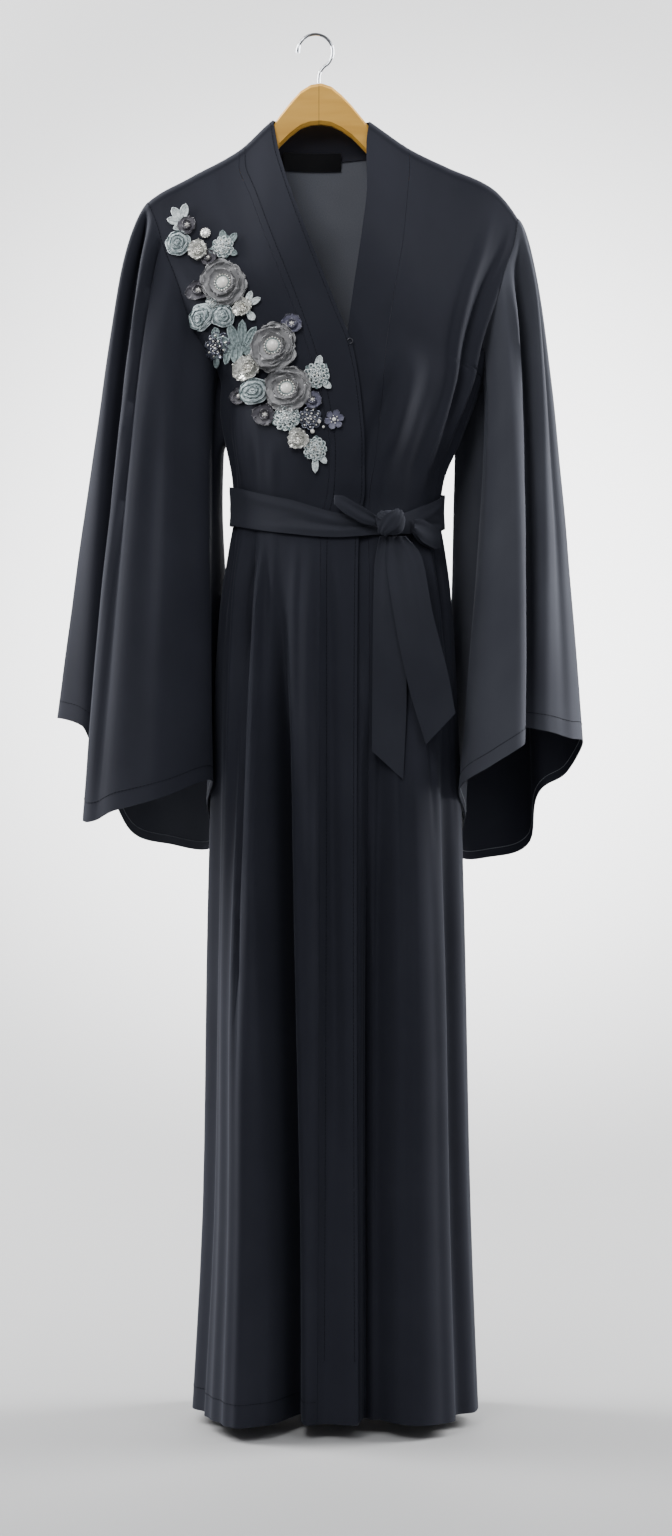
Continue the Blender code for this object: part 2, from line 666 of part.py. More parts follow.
def back_grid(cells=BACK_CELLS):
    """Grid of the back panel from the right armhole and side round to the left."""
    right = edge_path(FRONT_RIGHT, "arm_x", "arm_z")
    left = edge_path(FRONT_LEFT, "arm_x", "arm_z")
    neck_right = turn_at(*NECK_SEAM[0])
    neck_left = turn_at(*NECK_SEAM[-1])
    grid = []
    for i, ((right_x, right_z), (left_x, left_z)) in enumerate(zip(right, left)):
        stops = (turn_at(right_x, right_z), neck_right, neck_left, turn_at(left_x, left_z))
        turns = []
        for start, end, count in zip(stops, stops[1:], cells):
            turns += [mix(start, end, k / count) for k in range(count)]
        turns.append(stops[-1])
        drops = (shoulder_height(right_x) - right_z, shoulder_height(left_x) - left_z)
        row = []
        for turn in turns:
            u = (turn - turns[0]) / (turns[-1] - turns[0])
            z = hung_level(i, turn, mix(right_z, left_z, u), mix(*drops, u), back_top)
            point = body_point(180.0 - turn, z)
            if i == 0 and NECK_SEAM[0][0] < point.x < NECK_SEAM[-1][0]:
                point = body_point(180.0 - turn, back_top(point.x))
            elif i == 0:
                point = Vector((point.x, 0.0, shoulder_height(point.x)))
            row.append(point)
        grid.append(row)
    return grid


def neck_band_grid(cells=BAND_CELLS):
    """Grid of the neck stand behind the neck, from its free edge down to the neck seam."""
    seam = back_grid()[0][BACK_CELLS[0]:BACK_CELLS[0] + BACK_CELLS[1] + 1]
    ends = (band_grid(FRONT_RIGHT, False)[0], band_grid(FRONT_LEFT, True)[0])
    count = len(seam) - 1
    free_right = ends[0][0]
    free_left = ends[1][0]
    stand_depth = seam[count // 2].y - NECK_LEAN
    grid = []
    for i in range(cells + 1):
        row = []
        for j, foot in enumerate(seam):
            u = j / count
            top = free_right.lerp(free_left, u)
            top.y = stand_depth * math.sin(math.pi * u) ** NECK_ROUND
            top.z += NECK_DIP * math.sin(math.pi * u)
            row.append(top.lerp(foot, i / cells))
        grid.append(row)
    for i in range(cells + 1):
        grid[i][0] = ends[0][i].copy()
        grid[i][-1] = ends[1][i].copy()
    return grid


def ring_flow(stations, share):
    """Value at a share round a closed ring, on a smooth curve through the stations."""
    wrapped = [(p - 1.0, v) for p, v in stations[-2:]] + stations
    wrapped += [(p + 1.0, v) for p, v in stations[:3]]
    i = 1
    while wrapped[i + 1][0] <= share:
        i += 1
    (p0, v0), (p1, v1), (p2, v2), (p3, v3) = wrapped[i - 1:i + 3]
    slope1 = (v2 - v0) / (p2 - p0)
    slope2 = (v3 - v1) / (p3 - p1)
    h = p2 - p1
    t = (share - p1) / h
    return (
        v1 * (2 * t ** 3 - 3 * t ** 2 + 1)
        + slope1 * h * (t ** 3 - 2 * t ** 2 + t)
        + v2 * (3 * t ** 2 - 2 * t ** 3)
        + slope2 * h * (t ** 3 - t ** 2)
    )


def armhole_loop(front, back, side):
    """Armhole edge points from the underarm up the front, over the top and down the back."""
    front_edge = [row[-1] for row in front[:UNDERARM_ROW + 1]]
    back_edge = [row[0 if side < 0 else -1] for row in back[:UNDERARM_ROW + 1]]
    edge = front_edge[::-1] + back_edge[1:]
    loop = []
    for point, after in zip(edge, edge[1:]):
        loop.append(point)
        if (after - point).length > ARMHOLE_STEP:
            loop.append(point.lerp(after, 0.5))
    return loop


def sleeve_fold(folds, share, t):
    """How far a sleeve's folds move its cloth outwards, at a share round it and t down it."""
    total = 0.0
    for _, share_top, share_foot, start, full, reach, height in folds:
        rise = smooth((t - start) / (full - start)) * (1.0 - SLEEVE_FOLD_SPENT * t ** 3)
        away = abs(share - mix(share_top, share_foot, t)) / reach
        if away < 1.0:
            total += height * rise * (0.5 + 0.5 * math.cos(math.pi * away))
    return total


def fold_sleeve(grid, folds, steps, side):
    """The sleeve's rings with its long folds laid in, square to the cloth."""
    count = len(grid[0])
    folded = []
    for i, row in enumerate(grid):
        above = grid[max(i - 1, 0)]
        below = grid[min(i + 1, len(grid) - 1)]
        ring = []
        for j, point in enumerate(row):
            around = row[(j + 1) % count] - row[j - 1]
            outwards = around.cross(below[j] - above[j]).normalized() * -side
            ring.append(point + outwards * sleeve_fold(folds, j / count, steps[i]))
        folded.append(ring)
    return folded


def sleeve_grid(table, loop, side, folds, steps=SLEEVE_STEPS):
    """Closed rings of a sleeve from the armhole down to the cuff."""
    top = loop[len(loop) // 2]
    down = loop[0] - top
    out = Vector((side * -down.z, 0.0, side * down.x)).normalized()
    stations = {}
    for k, name in enumerate(SLEEVE_COLUMNS[2:]):
        stations[name] = [(row[1], row[k + 2]) for row in table]
    count = len(loop)
    grid = [[] for _ in steps]
    for j, edge in enumerate(loop):
        share = j / count
        cuff = Vector([ring_flow(stations[name], share) for name in ("x", "y", "z")])
        near = 1.0 - smooth(min(share, 1.0 - share) / UNDERARM_SHARE)
        start = edge + out * mix(SEAM_GAP * 2.0, UNDERARM_CLEAR, near)
        first = start + out * ring_flow(stations["lead"], share)
        second = cuff.lerp(first, SLEEVE_PULL)
        for i, t in enumerate(steps):
            point = start * (1 - t) ** 3 + first * (3 * t * (1 - t) ** 2)
            point += second * (3 * t * t * (1 - t)) + cuff * t ** 3
            grid[i].append(point)
    return fold_sleeve(grid, folds, steps, side)


def belt_point(turn, across, out=0.0):
    """A point of the belt: turn degrees round, across from -1 at its foot to 1 at its top."""
    level = flowing(BELT_LEVEL_AT, turn)
    height = flowing(BELT_HEIGHT_AT, turn)
    return body_point(turn, level + across * height / 2.0, BELT_OFF + out, folds=False)


def belt_grid(cells=BELT_CELLS, across=2):
    grid = []
    for i in range(across + 1):
        row = []
        for j in range(cells):
            row.append(belt_point(-180.0 + 360.0 * j / cells, 1.0 - 2.0 * i / across))
        grid.append(row)
    return grid


def knot_middle():
    """The knot sits on the most forward stretch of the belt behind it."""
    right = belt_point(turn_at(KNOT_X - KNOT_WIDE / 2.0, KNOT_Z), 0.0).y
    middle = belt_point(turn_at(KNOT_X, KNOT_Z), 0.0).y
    y = (right + middle) / 2.0 - BELT_CLOTH / 2.0 - SEAM_GAP * 2.0 - KNOT_DEEP / 2.0
    return Vector((KNOT_X, y, KNOT_Z))


def loop_grid(table, around=7, across=3):
    """Grid of a bow loop: a band of cloth from the knot out to its tip and back in front."""
    stations = {name: [(row[0], row[k]) for row in table] for k, name in enumerate(LOOP_COLUMNS)}
    start = table[0][0]
    tip = table[-1][0]
    levels = sorted(stations["level"])
    heights = sorted(stations["height"])
    grid = []
    for i in range(2 * around + 1):
        t = i / (2.0 * around)
        share = 1.0 - abs(2.0 * t - 1.0) ** LOOP_EASE
        x = mix(start, tip, share)
        off = BELT_OFF + mix(LOOP_BACK, LOOP_FRONT, smooth(t))
        middle = flowing(levels, x)
        height = flowing(heights, x)
        row = []
        for j in range(across + 1):
            z = middle + height * (0.5 - j / across)
            point = body_point(turn_at(x, KNOT_Z), KNOT_Z, off, folds=False)
            row.append(Vector((point.x, point.y, z)))
        grid.append(row)
    return grid


def skirt_ahead(x, z):
    """How far forward the skirt's cloth reaches at x, with the folds."""
    return body_point(turn_at(x, z), z).y


def tail_grid(table, off, rows=TAIL_ROWS, cells=TAIL_CELLS):
    """Grid of a belt tail that hangs clear of the skirt's front."""
    stations = []
    for k in range(4):
        stations.append([(float(i), row[k]) for i, row in enumerate(table)])
    grid = []
    for i in range(rows + 1):
        at = (len(table) - 1) * i / rows
        right_x, right_z, left_x, left_z = [flowing(s, at) for s in stations]
        reach = []
        for k in range(TAIL_REACHES + 1):
            reach.append(skirt_ahead(mix(*TAILS_X, k / TAIL_REACHES), right_z))
        row = []
        for j in range(cells + 1):
            t = j / cells
            row.append(Vector((mix(right_x, left_x, t), min(reach) - off, mix(right_z, left_z, t))))
        grid.append(row)
    for i in range(1, len(grid)):
        for j, point in enumerate(grid[i]):
            point.y = min(point.y, grid[i - 1][j].y + TAIL_LEAN_BACK)
    return grid


def label_grid(cells=8):
    grid = []
    for i in range(2):
        row = []
        for j in range(cells + 1):
            x = mix(LABEL_X[0], LABEL_X[1], j / cells)
            z = LABEL_Z[i]
            back = body_point(180.0 - turn_at(x, z), z)
            row.append(Vector((x, back.y - LABEL_OFF[i], z)))
        grid.append(row)
    return grid


def wall_mesh(name, grid, thick, closed=False, before=None, after=None):
    """A cloth wall: the grid moved half its thickness out and in, closed at its edges.

    Before and after are the next piece's columns past the first and last ones. An edge
    on the plane between front and back runs straight on across it.
    """
    rows = len(grid)
    columns = len(grid[0])

    def at(i, j):
        if closed:
            return grid[min(max(i, 0), rows - 1)][j % columns]
        if j < 0 and before:
            return before[i]
        if j >= columns and after:
            return after[i]
        edge = grid[min(max(i, 0), rows - 1)][min(max(j, 0), columns - 1)]
        if 0 <= i < rows and 0 <= j < columns:
            return edge
        if abs(edge.y) > SEAM_GAP:
            return edge
        inner = grid[min(max(i, 1), rows - 2)][min(max(j, 0), columns - 1)]
        if j < 0 or j >= columns:
            inner = grid[i][1 if j < 0 else -2]
        return Vector((inner.x, -inner.y, inner.z))

    mesh = bmesh.new()
    sides = ([], [])
    for i in range(rows):
        for k in (0, 1):
            sides[k].append([])
        for j in range(columns):
            along = at(i, j + 1) - at(i, j - 1)
            down = at(i + 1, j) - at(i - 1, j)
            normal = along.cross(down).normalized()
            sides[0][i].append(mesh.verts.new(grid[i][j] + normal * thick / 2.0))
            sides[1][i].append(mesh.verts.new(grid[i][j] - normal * thick / 2.0))
    spans = columns if closed else columns - 1
    for k in (0, 1):
        for i in range(rows - 1):
            for j in range(spans):
                n = (j + 1) % columns
                quad = (sides[k][i][j], sides[k][i][n], sides[k][i + 1][n], sides[k][i + 1][j])
                mesh.faces.new(quad)
    for i in (0, rows - 1):
        for j in range(spans):
            n = (j + 1) % columns
            mesh.faces.new((sides[0][i][j], sides[0][i][n], sides[1][i][n], sides[1][i][j]))
    if not closed:
        for j in (0, columns - 1):
            for i in range(rows - 1):
                mesh.faces.new((sides[0][i][j], sides[0][i + 1][j], sides[1][i + 1][j], sides[1][i][j]))
    return add_object(name, mesh)


def add_object(name, mesh):
    """Close off a bmesh as one named object with its own material."""
    bmesh.ops.recalc_face_normals(mesh, faces=mesh.faces)
    data = bpy.data.meshes.new(name)
    mesh.to_mesh(data)
    mesh.free()
    data.shade_smooth()
    body = bpy.data.objects.new(name, data)
    bpy.context.scene.collection.objects.link(body)
    data.materials.append(finish(name))
    return body


def finish(name):
    """The piece's own material, by what it is made of."""
    colour, roughness, metallic = FINISHES["cloth"]
    for part, values in FINISHES.items():
        if part in name:
            colour, roughness, metallic = values
    material = bpy.data.materials.new(name)
    material.use_nodes = True
    shader = material.node_tree.nodes["Principled BSDF"]
    shader.inputs["Base Color"].default_value = (*colour, 1.0)
    shader.inputs["Roughness"].default_value = roughness
    shader.inputs["Metallic"].default_value = metallic
    return material


def knot():
    """The belt's knot, a soft squarish lump."""
    mesh = bmesh.new()
    bmesh.ops.create_uvsphere(mesh, u_segments=KNOT_CELLS[0], v_segments=KNOT_CELLS[1], radius=1.0)
    middle = knot_middle()
    for vert in mesh.verts:
        soft = [math.copysign(abs(c) ** KNOT_SQUARE, c) for c in vert.co]
        vert.co = middle + Vector((
            soft[0] * KNOT_WIDE / 2.0, soft[1] * KNOT_DEEP / 2.0, soft[2] * KNOT_TALL / 2.0,
        ))
    return add_object("belt_knot", mesh)


def flower(name, x, z, radius, height, petals, notch):
    """One appliqued flower: its underside is the front's surface moved out."""
    large = radius >= FLOWER_LARGE
    sectors = FLOWER_LARGE_SECTORS if large else FLOWER_SECTORS
    rings = FLOWER_LARGE_RINGS if large else FLOWER_RINGS
    mesh = bmesh.new()
    off = CLOTH / 2.0 + FLOWER_OFF
    layers = ([], [])
    for share in rings:
        for side in (0, 1):
            ring = []
            for k in range(sectors):
                angle = 2.0 * math.pi * k / sectors
                lobe = 0.5 + 0.5 * math.cos(petals * angle)
                reach = radius * share * (1.0 - notch * (1.0 - lobe) * share)
                rise = FLOWER_EDGE + (height - FLOWER_EDGE) * (1.0 - share) ** FLOWER_DOME
                rise *= 1.0 - FLOWER_DIP * (1.0 - lobe) * share
                px = x + reach * math.sin(angle)
                pz = z + reach * math.cos(angle)
                ring.append(mesh.verts.new(front_point(px, pz, off + side * rise)))
            layers[side].append(ring)
    for side in (0, 1):
        for outer, inner in zip(layers[side], layers[side][1:]):
            for k in range(sectors):
                n = (k + 1) % sectors
                mesh.faces.new((outer[k], outer[n], inner[n], inner[k]))
        middle = mesh.verts.new(front_point(x, z, off + side * height))
        last = layers[side][-1]
        for k in range(sectors):
            mesh.faces.new((last[k], last[(k + 1) % sectors], middle))
    for k in range(sectors):
        n = (k + 1) % sectors
        mesh.faces.new((layers[0][0][k], layers[0][0][n], layers[1][0][n], layers[1][0][k]))
    return add_object(name, mesh)


def wood_top(x):
    """Top line of the wooden hanger: its bare middle, then arms just under the shoulders."""
    if WOOD_MIDDLE[0][0] <= x <= WOOD_MIDDLE[-1][0]:
        return flowing(column(WOOD_MIDDLE, WOOD_COLUMNS, "x", "top"), x)
    return shoulder_height(x) - flowing(column(WOOD_SEATS, WOOD_SEAT_COLUMNS, "x", "below"), x)


def wood_depth(x):
    return flowing(column(WOOD_DEPTHS, WOOD_DEPTH_COLUMNS, "x", "depth"), x)


def hanger_wood():
    """The wooden hanger as rounded sections from one arm's tip to the other's."""
    mesh = bmesh.new()
    rings = []
    for k in range(WOOD_SECTIONS + 1):
        x = mix(WOOD_ENDS[0], WOOD_ENDS[1], k / WOOD_SECTIONS)
        top = wood_top(x)
        foot = top - wood_depth(x)
        half = WOOD_THICK / 2.0
        ring = []
        for y_sign, z_sign in ((-1, 1), (1, 1), (1, -1), (-1, -1)):
            for near_top in ((False, True) if y_sign * z_sign < 0 else (True, False)):
                y = y_sign * (half - (WOOD_EDGE if near_top else 0.0))
                inset = 0.0 if near_top else WOOD_EDGE
                z = top - inset if z_sign > 0 else foot + inset
                ring.append(mesh.verts.new((x, y, z)))
        rings.append(ring)
    for before, after in zip(rings, rings[1:]):
        for k in range(8):
            n = (k + 1) % 8
            mesh.faces.new((before[k], before[n], after[n], after[k]))
    mesh.faces.new(rings[0])
    mesh.faces.new(rings[-1][::-1])
    return add_object("hanger_wood", mesh)


def wire(name, points, diameter, swell=None, sides=3):
    """A bent wire through the points, with filled ends."""
    curve = bpy.data.curves.new(name, "CURVE")
    curve.dimensions = "3D"
    curve.bevel_depth = diameter / 2.0
    curve.bevel_resolution = sides
    curve.use_fill_caps = True
    spline = curve.splines.new("POLY")
    spline.points.add(len(points) - 1)
    for k, point in enumerate(points):
        spline.points[k].co = (*point, 1.0)
        spline.points[k].radius = swell[k] if swell else 1.0
    body = bpy.data.objects.new(name, curve)
    bpy.context.scene.collection.objects.link(body)
    curve.materials.append(finish(name))
    return body


def hanger_hook():
    """The chrome hook: a round tip, the crook over the rod, and the stem into the wood."""
    centre_z = HOOK_WIRE / 2.0 - HOOK_RADIUS
    points = []
    swell = []
    for k in range(HOOK_BENDS + 1):
        turn = math.radians(mix(HOOK_TIP_TURN, HOOK_END_TURN, k / HOOK_BENDS))
        x = HOOK_CENTRE_X + HOOK_RADIUS * math.cos(turn)
        z = centre_z + HOOK_RADIUS * math.sin(turn)
        points.append((x, 0.0, z))
        swell.append(HOOK_TIP_SWELL if k < 2 else 1.0)
    for x, z in HOOK_STEM:
        points.append((x, 0.0, z))
        swell.append(1.0)
    return wire("hanger_hook", points, HOOK_WIRE, swell)


def hook_eye():
    """The small bent wire hook that holds the right band's edge to the left band."""
    base = front_point(HOOK_EYE_X, HOOK_EYE_Z)
    points = []
    for k in range(HOOK_EYE_BENDS + 1):
        turn = math.radians(mix(*HOOK_EYE_TURNS, k / HOOK_EYE_BENDS))
        x = base.x + HOOK_EYE_RADIUS * math.cos(turn)
        z = base.z + HOOK_EYE_RADIUS * math.sin(turn)
        points.append((x, base.y - HOOK_EYE_OFF, z))
    return wire("hook_eye", points, HOOK_EYE_WIRE, sides=2)


def build():
    for body in list(bpy.data.objects):
        bpy.data.objects.remove(body, do_unlink=True)

    front_right = front_grid(FRONT_RIGHT, FRONT_RIGHT_CELLS, False)
    front_left = front_grid(FRONT_LEFT, FRONT_LEFT_CELLS, True)
    back = back_grid()
    loop_right = armhole_loop(front_right, back, -1)
    loop_left = armhole_loop(front_left, back, 1)
    sleeve_right = sleeve_grid(SLEEVE_RIGHT, loop_right, -1, SLEEVE_FOLDS_RIGHT)
    sleeve_left = sleeve_grid(SLEEVE_LEFT, loop_left, 1, SLEEVE_FOLDS_LEFT)
    wall_mesh("sleeve_right", sleeve_right, CLOTH, closed=True)
    wall_mesh("sleeve_left", sleeve_left, CLOTH, closed=True)

    band_right = band_grid(FRONT_RIGHT, False)
    band_left = band_grid(FRONT_LEFT, True)
    band_neck = neck_band_grid()
    pull_edge(front_right, row_edges=(0,), column_edges=(0, -1))
    pull_edge(front_left, row_edges=(0,), column_edges=(0, -1))
    pull_edge(back, row_edges=(0,), column_edges=(0, -1))
    pull_edge(band_right, row_edges=(0,), column_edges=(-1,))
    pull_edge(band_left, row_edges=(0,), column_edges=(-1,))
    pull_edge(band_neck, row_edges=(-1,), gap=NECK_GAP)
    pull_edge(band_neck, column_edges=(0, -1))
    wall_mesh("front_right", front_right, CLOTH, before=[row[-2] for row in band_right])
    wall_mesh("front_left", front_left, CLOTH, before=[row[-2] for row in band_left])
    wall_mesh("back", back, CLOTH)
    wall_mesh("band_right", band_right, CLOTH, after=[row[1] for row in front_right])
    wall_mesh("band_left", band_left, CLOTH, after=[row[1] for row in front_left])
    wall_mesh("band_neck", band_neck, CLOTH)

    wall_mesh("belt", belt_grid(), BELT_CLOTH, closed=True)
    knot()
    wall_mesh("bow_loop_right", loop_grid(LOOP_RIGHT), CLOTH)
    wall_mesh("bow_loop_left", loop_grid(LOOP_LEFT), CLOTH)
    wall_mesh("belt_tail_back", tail_grid(TAIL_BACK, TAIL_BACK_OFF), CLOTH)
    wall_mesh("belt_tail_front", tail_grid(TAIL_FRONT, TAIL_FRONT_OFF), CLOTH)
    wall_mesh("label", label_grid(), LABEL_THICK)
    hook_eye()

    for row in FLOWERS:
        flower(*row)

    hanger_wood()
    hanger_hook()


build()
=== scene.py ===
"""Finished look of the abaya cloak on its hanger: cloth, belt, applique, finishes and light.

Units are metres. +X is the wearer's left, -Y is the front and +Z is up.
"""

import functools
import math
import random

import bmesh
import bpy
from mathutils import Matrix, Vector, noise


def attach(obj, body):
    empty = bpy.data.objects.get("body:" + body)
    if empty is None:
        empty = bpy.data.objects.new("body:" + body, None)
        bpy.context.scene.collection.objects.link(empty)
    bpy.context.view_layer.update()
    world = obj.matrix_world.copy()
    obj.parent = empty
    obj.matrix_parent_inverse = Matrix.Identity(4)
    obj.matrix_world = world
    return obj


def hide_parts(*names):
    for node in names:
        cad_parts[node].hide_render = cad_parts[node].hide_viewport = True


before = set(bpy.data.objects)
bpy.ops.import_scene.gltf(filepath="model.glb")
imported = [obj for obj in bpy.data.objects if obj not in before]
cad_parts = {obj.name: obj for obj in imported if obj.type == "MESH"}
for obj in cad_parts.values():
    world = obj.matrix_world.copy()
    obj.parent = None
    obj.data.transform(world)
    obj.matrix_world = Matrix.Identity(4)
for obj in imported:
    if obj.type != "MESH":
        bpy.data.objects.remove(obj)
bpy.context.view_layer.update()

# How much finer the cloth is laid than in the solids
FINE_DOWN = 4
FINE_ACROSS = 4

# Cloth and seams
CLOTH = 0.0015
BELT_CLOTH = 0.0020
SEAM_GAP = 0.0003
LAP = 0.0048
LAP_FADE = 0.020

# Levels that the garment is built round
BELT_LEVEL = -0.530
HEM_LEVEL = -1.526
SHOULDER_ROLL = 0.0090
CHEST_DROP = 0.20

# Body seen from above at each level: side seams, front and back depth, squareness
SECTION_COLUMNS = ("level", "right_side", "left_side", "front", "back", "square")
SECTIONS = (
    (-0.080, -0.250, 0.285, 0.050, 0.055, 2.2),
    (-0.200, -0.228, 0.262, 0.056, 0.060, 2.2),
    (-0.240, -0.205, 0.245, 0.060, 0.064, 2.2),
    (-0.290, -0.174, 0.218, 0.066, 0.068, 2.2),
    (-0.350, -0.134, 0.192, 0.074, 0.072, 2.2),
    (-0.392, -0.1045, 0.180, 0.078, 0.074, 2.2),
    (-0.450, -0.1010, 0.158, 0.079, 0.072, 2.2),
    (-0.500, -0.0955, 0.138, 0.073, 0.068, 2.2),
    (-0.530, -0.0935, 0.1345, 0.068, 0.066, 2.2),
    (-0.570, -0.0995, 0.1385, 0.074, 0.070, 2.2),
    (-0.640, -0.1100, 0.1480, 0.083, 0.079, 2.3),
    (-0.830, -0.1195, 0.1570, 0.092, 0.092, 2.4),
    (-1.000, -0.1240, 0.1620, 0.097, 0.100, 2.4),
    (-1.275, -0.1280, 0.1675, 0.102, 0.108, 2.4),
    (-1.560, -0.1420, 0.1780, 0.108, 0.115, 2.4),
)

# Top line of the garment from the front: shoulder seams, with the neck stand between them
SHOULDER_COLUMNS = ("x", "z")
SHOULDER = (
    (-0.235, -0.262),
    (-0.211, -0.215),
    (-0.190, -0.186),
    (-0.144, -0.159),
    (-0.088, -0.128),
    (-0.051, -0.0945),
    (0.003, -0.062),
    (0.056, -0.0960),
    (0.101, -0.127),
    (0.142, -0.147),
    (0.192, -0.170),
    (0.221, -0.204),
    (0.243, -0.258),
)

# Back neck seam
NECK_SEAM_COLUMNS = ("x", "z")
NECK_SEAM = (
    (-0.088, -0.128),
    (-0.045, -0.1325),
    (0.006, -0.134),
    (0.060, -0.1325),
    (0.101, -0.127),
)

# Wearer's right front, shoulder to hem: rows to the next place, band seam, band's free
# edge, and the armhole, which from the underarm down is the side seam
FRONT_COLUMNS = ("place", "rows", "seam_x", "seam_z", "free_x", "free_z", "arm_x", "arm_z")
FRONT_RIGHT = (
    ("shoulder", 4, -0.0880, -0.1280, -0.0510, -0.0945, -0.190, -0.186),
    ("neck", 2, -0.0886, -0.1483, -0.0457, -0.1253, -0.180, -0.210),
    ("collarbone", 2, -0.0753, -0.1839, -0.0365, -0.1597, -0.1705, -0.241),
    ("breast", 2, -0.0590, -0.2298, -0.0135, -0.2262, -0.158, -0.272),
    ("chest", 3, -0.0261, -0.3150, 0.0180, -0.3072, -0.142, -0.322),
    ("underarm", 3, -0.0074, -0.3718, 0.0376, -0.3581, -0.1085, -0.388),
    ("rib", 2, 0.0063, -0.4241, 0.0464, -0.4145, -0.20, -0.430),
    ("gathers", 2, 0.0122, -0.4700, 0.0503, -0.4670, -0.20, -0.475),
    ("belt top", 1, 0.0102, -0.5120, 0.0504, -0.5120, -0.20, -0.510),
    ("belt", 1, 0.0043, -0.5400, 0.0455, -0.5400, -0.20, -0.540),
    ("belt foot", 1, 0.0024, -0.5700, 0.0435, -0.5700, -0.20, -0.570),
    ("hip", 3, 0.0014, -0.6400, 0.0424, -0.6400, -0.20, -0.640),
    ("knee", 2, 0.0005, -0.9800, 0.0414, -0.9800, -0.20, -0.980),
    ("hem", 1, -0.002, HEM_LEVEL, 0.043, HEM_LEVEL, -0.20, HEM_LEVEL),
)
FRONT_LEFT = (
    ("shoulder", 4, 0.1010, -0.1270, 0.0560, -0.0960, 0.221, -0.204),
    ("neck", 2, 0.1007, -0.1484, 0.0528, -0.1251, 0.216, -0.234),
    ("collarbone", 2, 0.0974, -0.1877, 0.0532, -0.1718, 0.207, -0.258),
    ("breast", 2, 0.0931, -0.2320, 0.0476, -0.2243, 0.197, -0.288),
    ("chest", 3, 0.0818, -0.2995, 0.0367, -0.3002, 0.187, -0.332),
    ("underarm", 3, 0.0728, -0.3648, 0.0298, -0.3582, 0.1812, -0.392),
    ("rib", 2, 0.0689, -0.4235, 0.0258, -0.4145, 0.30, -0.430),
    ("gathers", 2, 0.0640, -0.4700, 0.0210, -0.4670, 0.30, -0.475),
    ("belt top", 1, 0.0572, -0.5120, 0.0141, -0.5120, 0.30, -0.510),
    ("belt", 1, 0.0553, -0.5400, 0.0121, -0.5400, 0.30, -0.540),
    ("belt foot", 1, 0.0552, -0.5700, 0.0122, -0.5700, 0.30, -0.570),
    ("hip", 3, 0.0561, -0.6400, 0.0131, -0.6400, 0.30, -0.640),
    ("knee", 2, 0.0570, -0.9800, 0.0141, -0.9800, 0.30, -0.980),
    ("hem", 1, 0.059, HEM_LEVEL, 0.014, HEM_LEVEL, 0.30, HEM_LEVEL),
)
UNDERARM_PLACE = 5
LEVEL_PASSES = 4

# Columns of cells across each panel
FRONT_RIGHT_CELLS = 19
FRONT_LEFT_CELLS = 17
BACK_CELLS = (8, 10, 8)
BAND_CELLS = 3

# Folds and gathers: turn is degrees round the body from the centre front towards the
# wearer's left, at the fold's top and at its foot. Reach is how far it spreads each way.
# Height is out of the cloth, or into it where negative.
# Columns: name, top, full, foot, turn_top, turn_foot, reach_right, reach_left, height
HEM_FOOT = -1.60
FOLDS = (
    ("right column", -0.56, -1.15, HEM_FOOT, -40, -37, 27, 13, 0.030),
    ("right valley", -0.55, -0.90, HEM_FOOT, -30, -19, 9, 8, -0.046),
    ("right crease", -0.56, -0.85, HEM_FOOT, -52, -47, 8, 7, -0.007),
    ("middle column", -0.60, -1.00, HEM_FOOT, -2, -4, 8, 13, -0.010),
    ("slit valley", -0.56, -1.05, HEM_FOOT, 23, 19, 9, 9, -0.030),
    ("left column", -0.56, -1.15, HEM_FOOT, 40, 37, 20, 24, 0.014),
    ("left crease", -0.56, -0.85, HEM_FOOT, 33, 26, 6, 6, -0.007),
    ("left side valley", -0.60, -1.00, HEM_FOOT, 62, 64, 12, 12, -0.012),
    ("right side valley", -0.60, -1.00, HEM_FOOT, -72, -74, 12, 11, -0.010),
    ("back right column", -0.58, -1.10, HEM_FOOT, -132, -135, 20, 20, 0.024),
    ("back right valley", -0.57, -1.00, HEM_FOOT, -155, -157, 13, 12, -0.040),
    ("back middle column", -0.60, -1.10, HEM_FOOT, -176, -178, 16, 16, 0.012),
    ("back left valley", -0.57, -1.00, HEM_FOOT, 157, 158, 12, 14, -0.036),
    ("back left column", -0.58, -1.10, HEM_FOOT, 134, 131, 20, 20, 0.022),
    ("back side valley", -0.60, -1.05, HEM_FOOT, 106, 105, 12, 12, -0.016),
    ("left front fold", -0.34, -0.45, -0.545, 27, 25, 9, 9, 0.012),
    ("left front valley", -0.36, -0.46, -0.545, 17, 14, 8, 6, -0.009),
    ("gather a", -0.42, -0.50, -0.70, -78, -70, 6, 6, -0.0060),
    ("gather b", -0.40, -0.50, -0.66, -66, -58, 6, 6, 0.0050),
    ("gather c", -0.43, -0.50, -0.78, -52, -48, 6, 6, -0.0055),
    ("gather d", -0.45, -0.50, -0.66, -38, -36, 6, 6, 0.0040),
    ("gather e", -0.40, -0.50, -0.66, 42, 47, 6, 6, -0.0060),
    ("gather f", -0.38, -0.50, -0.68, 52, 58, 6, 6, 0.0045),
    ("gather g", -0.37, -0.50, -0.74, 62, 70, 6, 6, -0.0065),
    ("gather h", -0.39, -0.50, -0.66, 74, 82, 6, 6, 0.0050),
    ("gather i", -0.42, -0.50, -0.72, 108, 112, 9, 9, -0.0060),
    ("gather j", -0.42, -0.50, -0.68, 128, 131, 8, 8, 0.0050),
    ("gather k", -0.44, -0.50, -0.76, 148, 150, 9, 9, -0.0055),
    ("gather l", -0.44, -0.50, -0.68, 170, 171, 9, 9, 0.0045),
    ("gather m", -0.44, -0.50, -0.74, -164, -163, 8, 8, -0.0055),
    ("gather n", -0.42, -0.50, -0.68, -142, -140, 9, 9, 0.0050),
    ("gather o", -0.42, -0.50, -0.74, -118, -114, 9, 9, -0.0060),
)
FOLD_FADE = 0.12
BELT_PINCH = 0.90
BELT_PINCH_HALF = 0.055

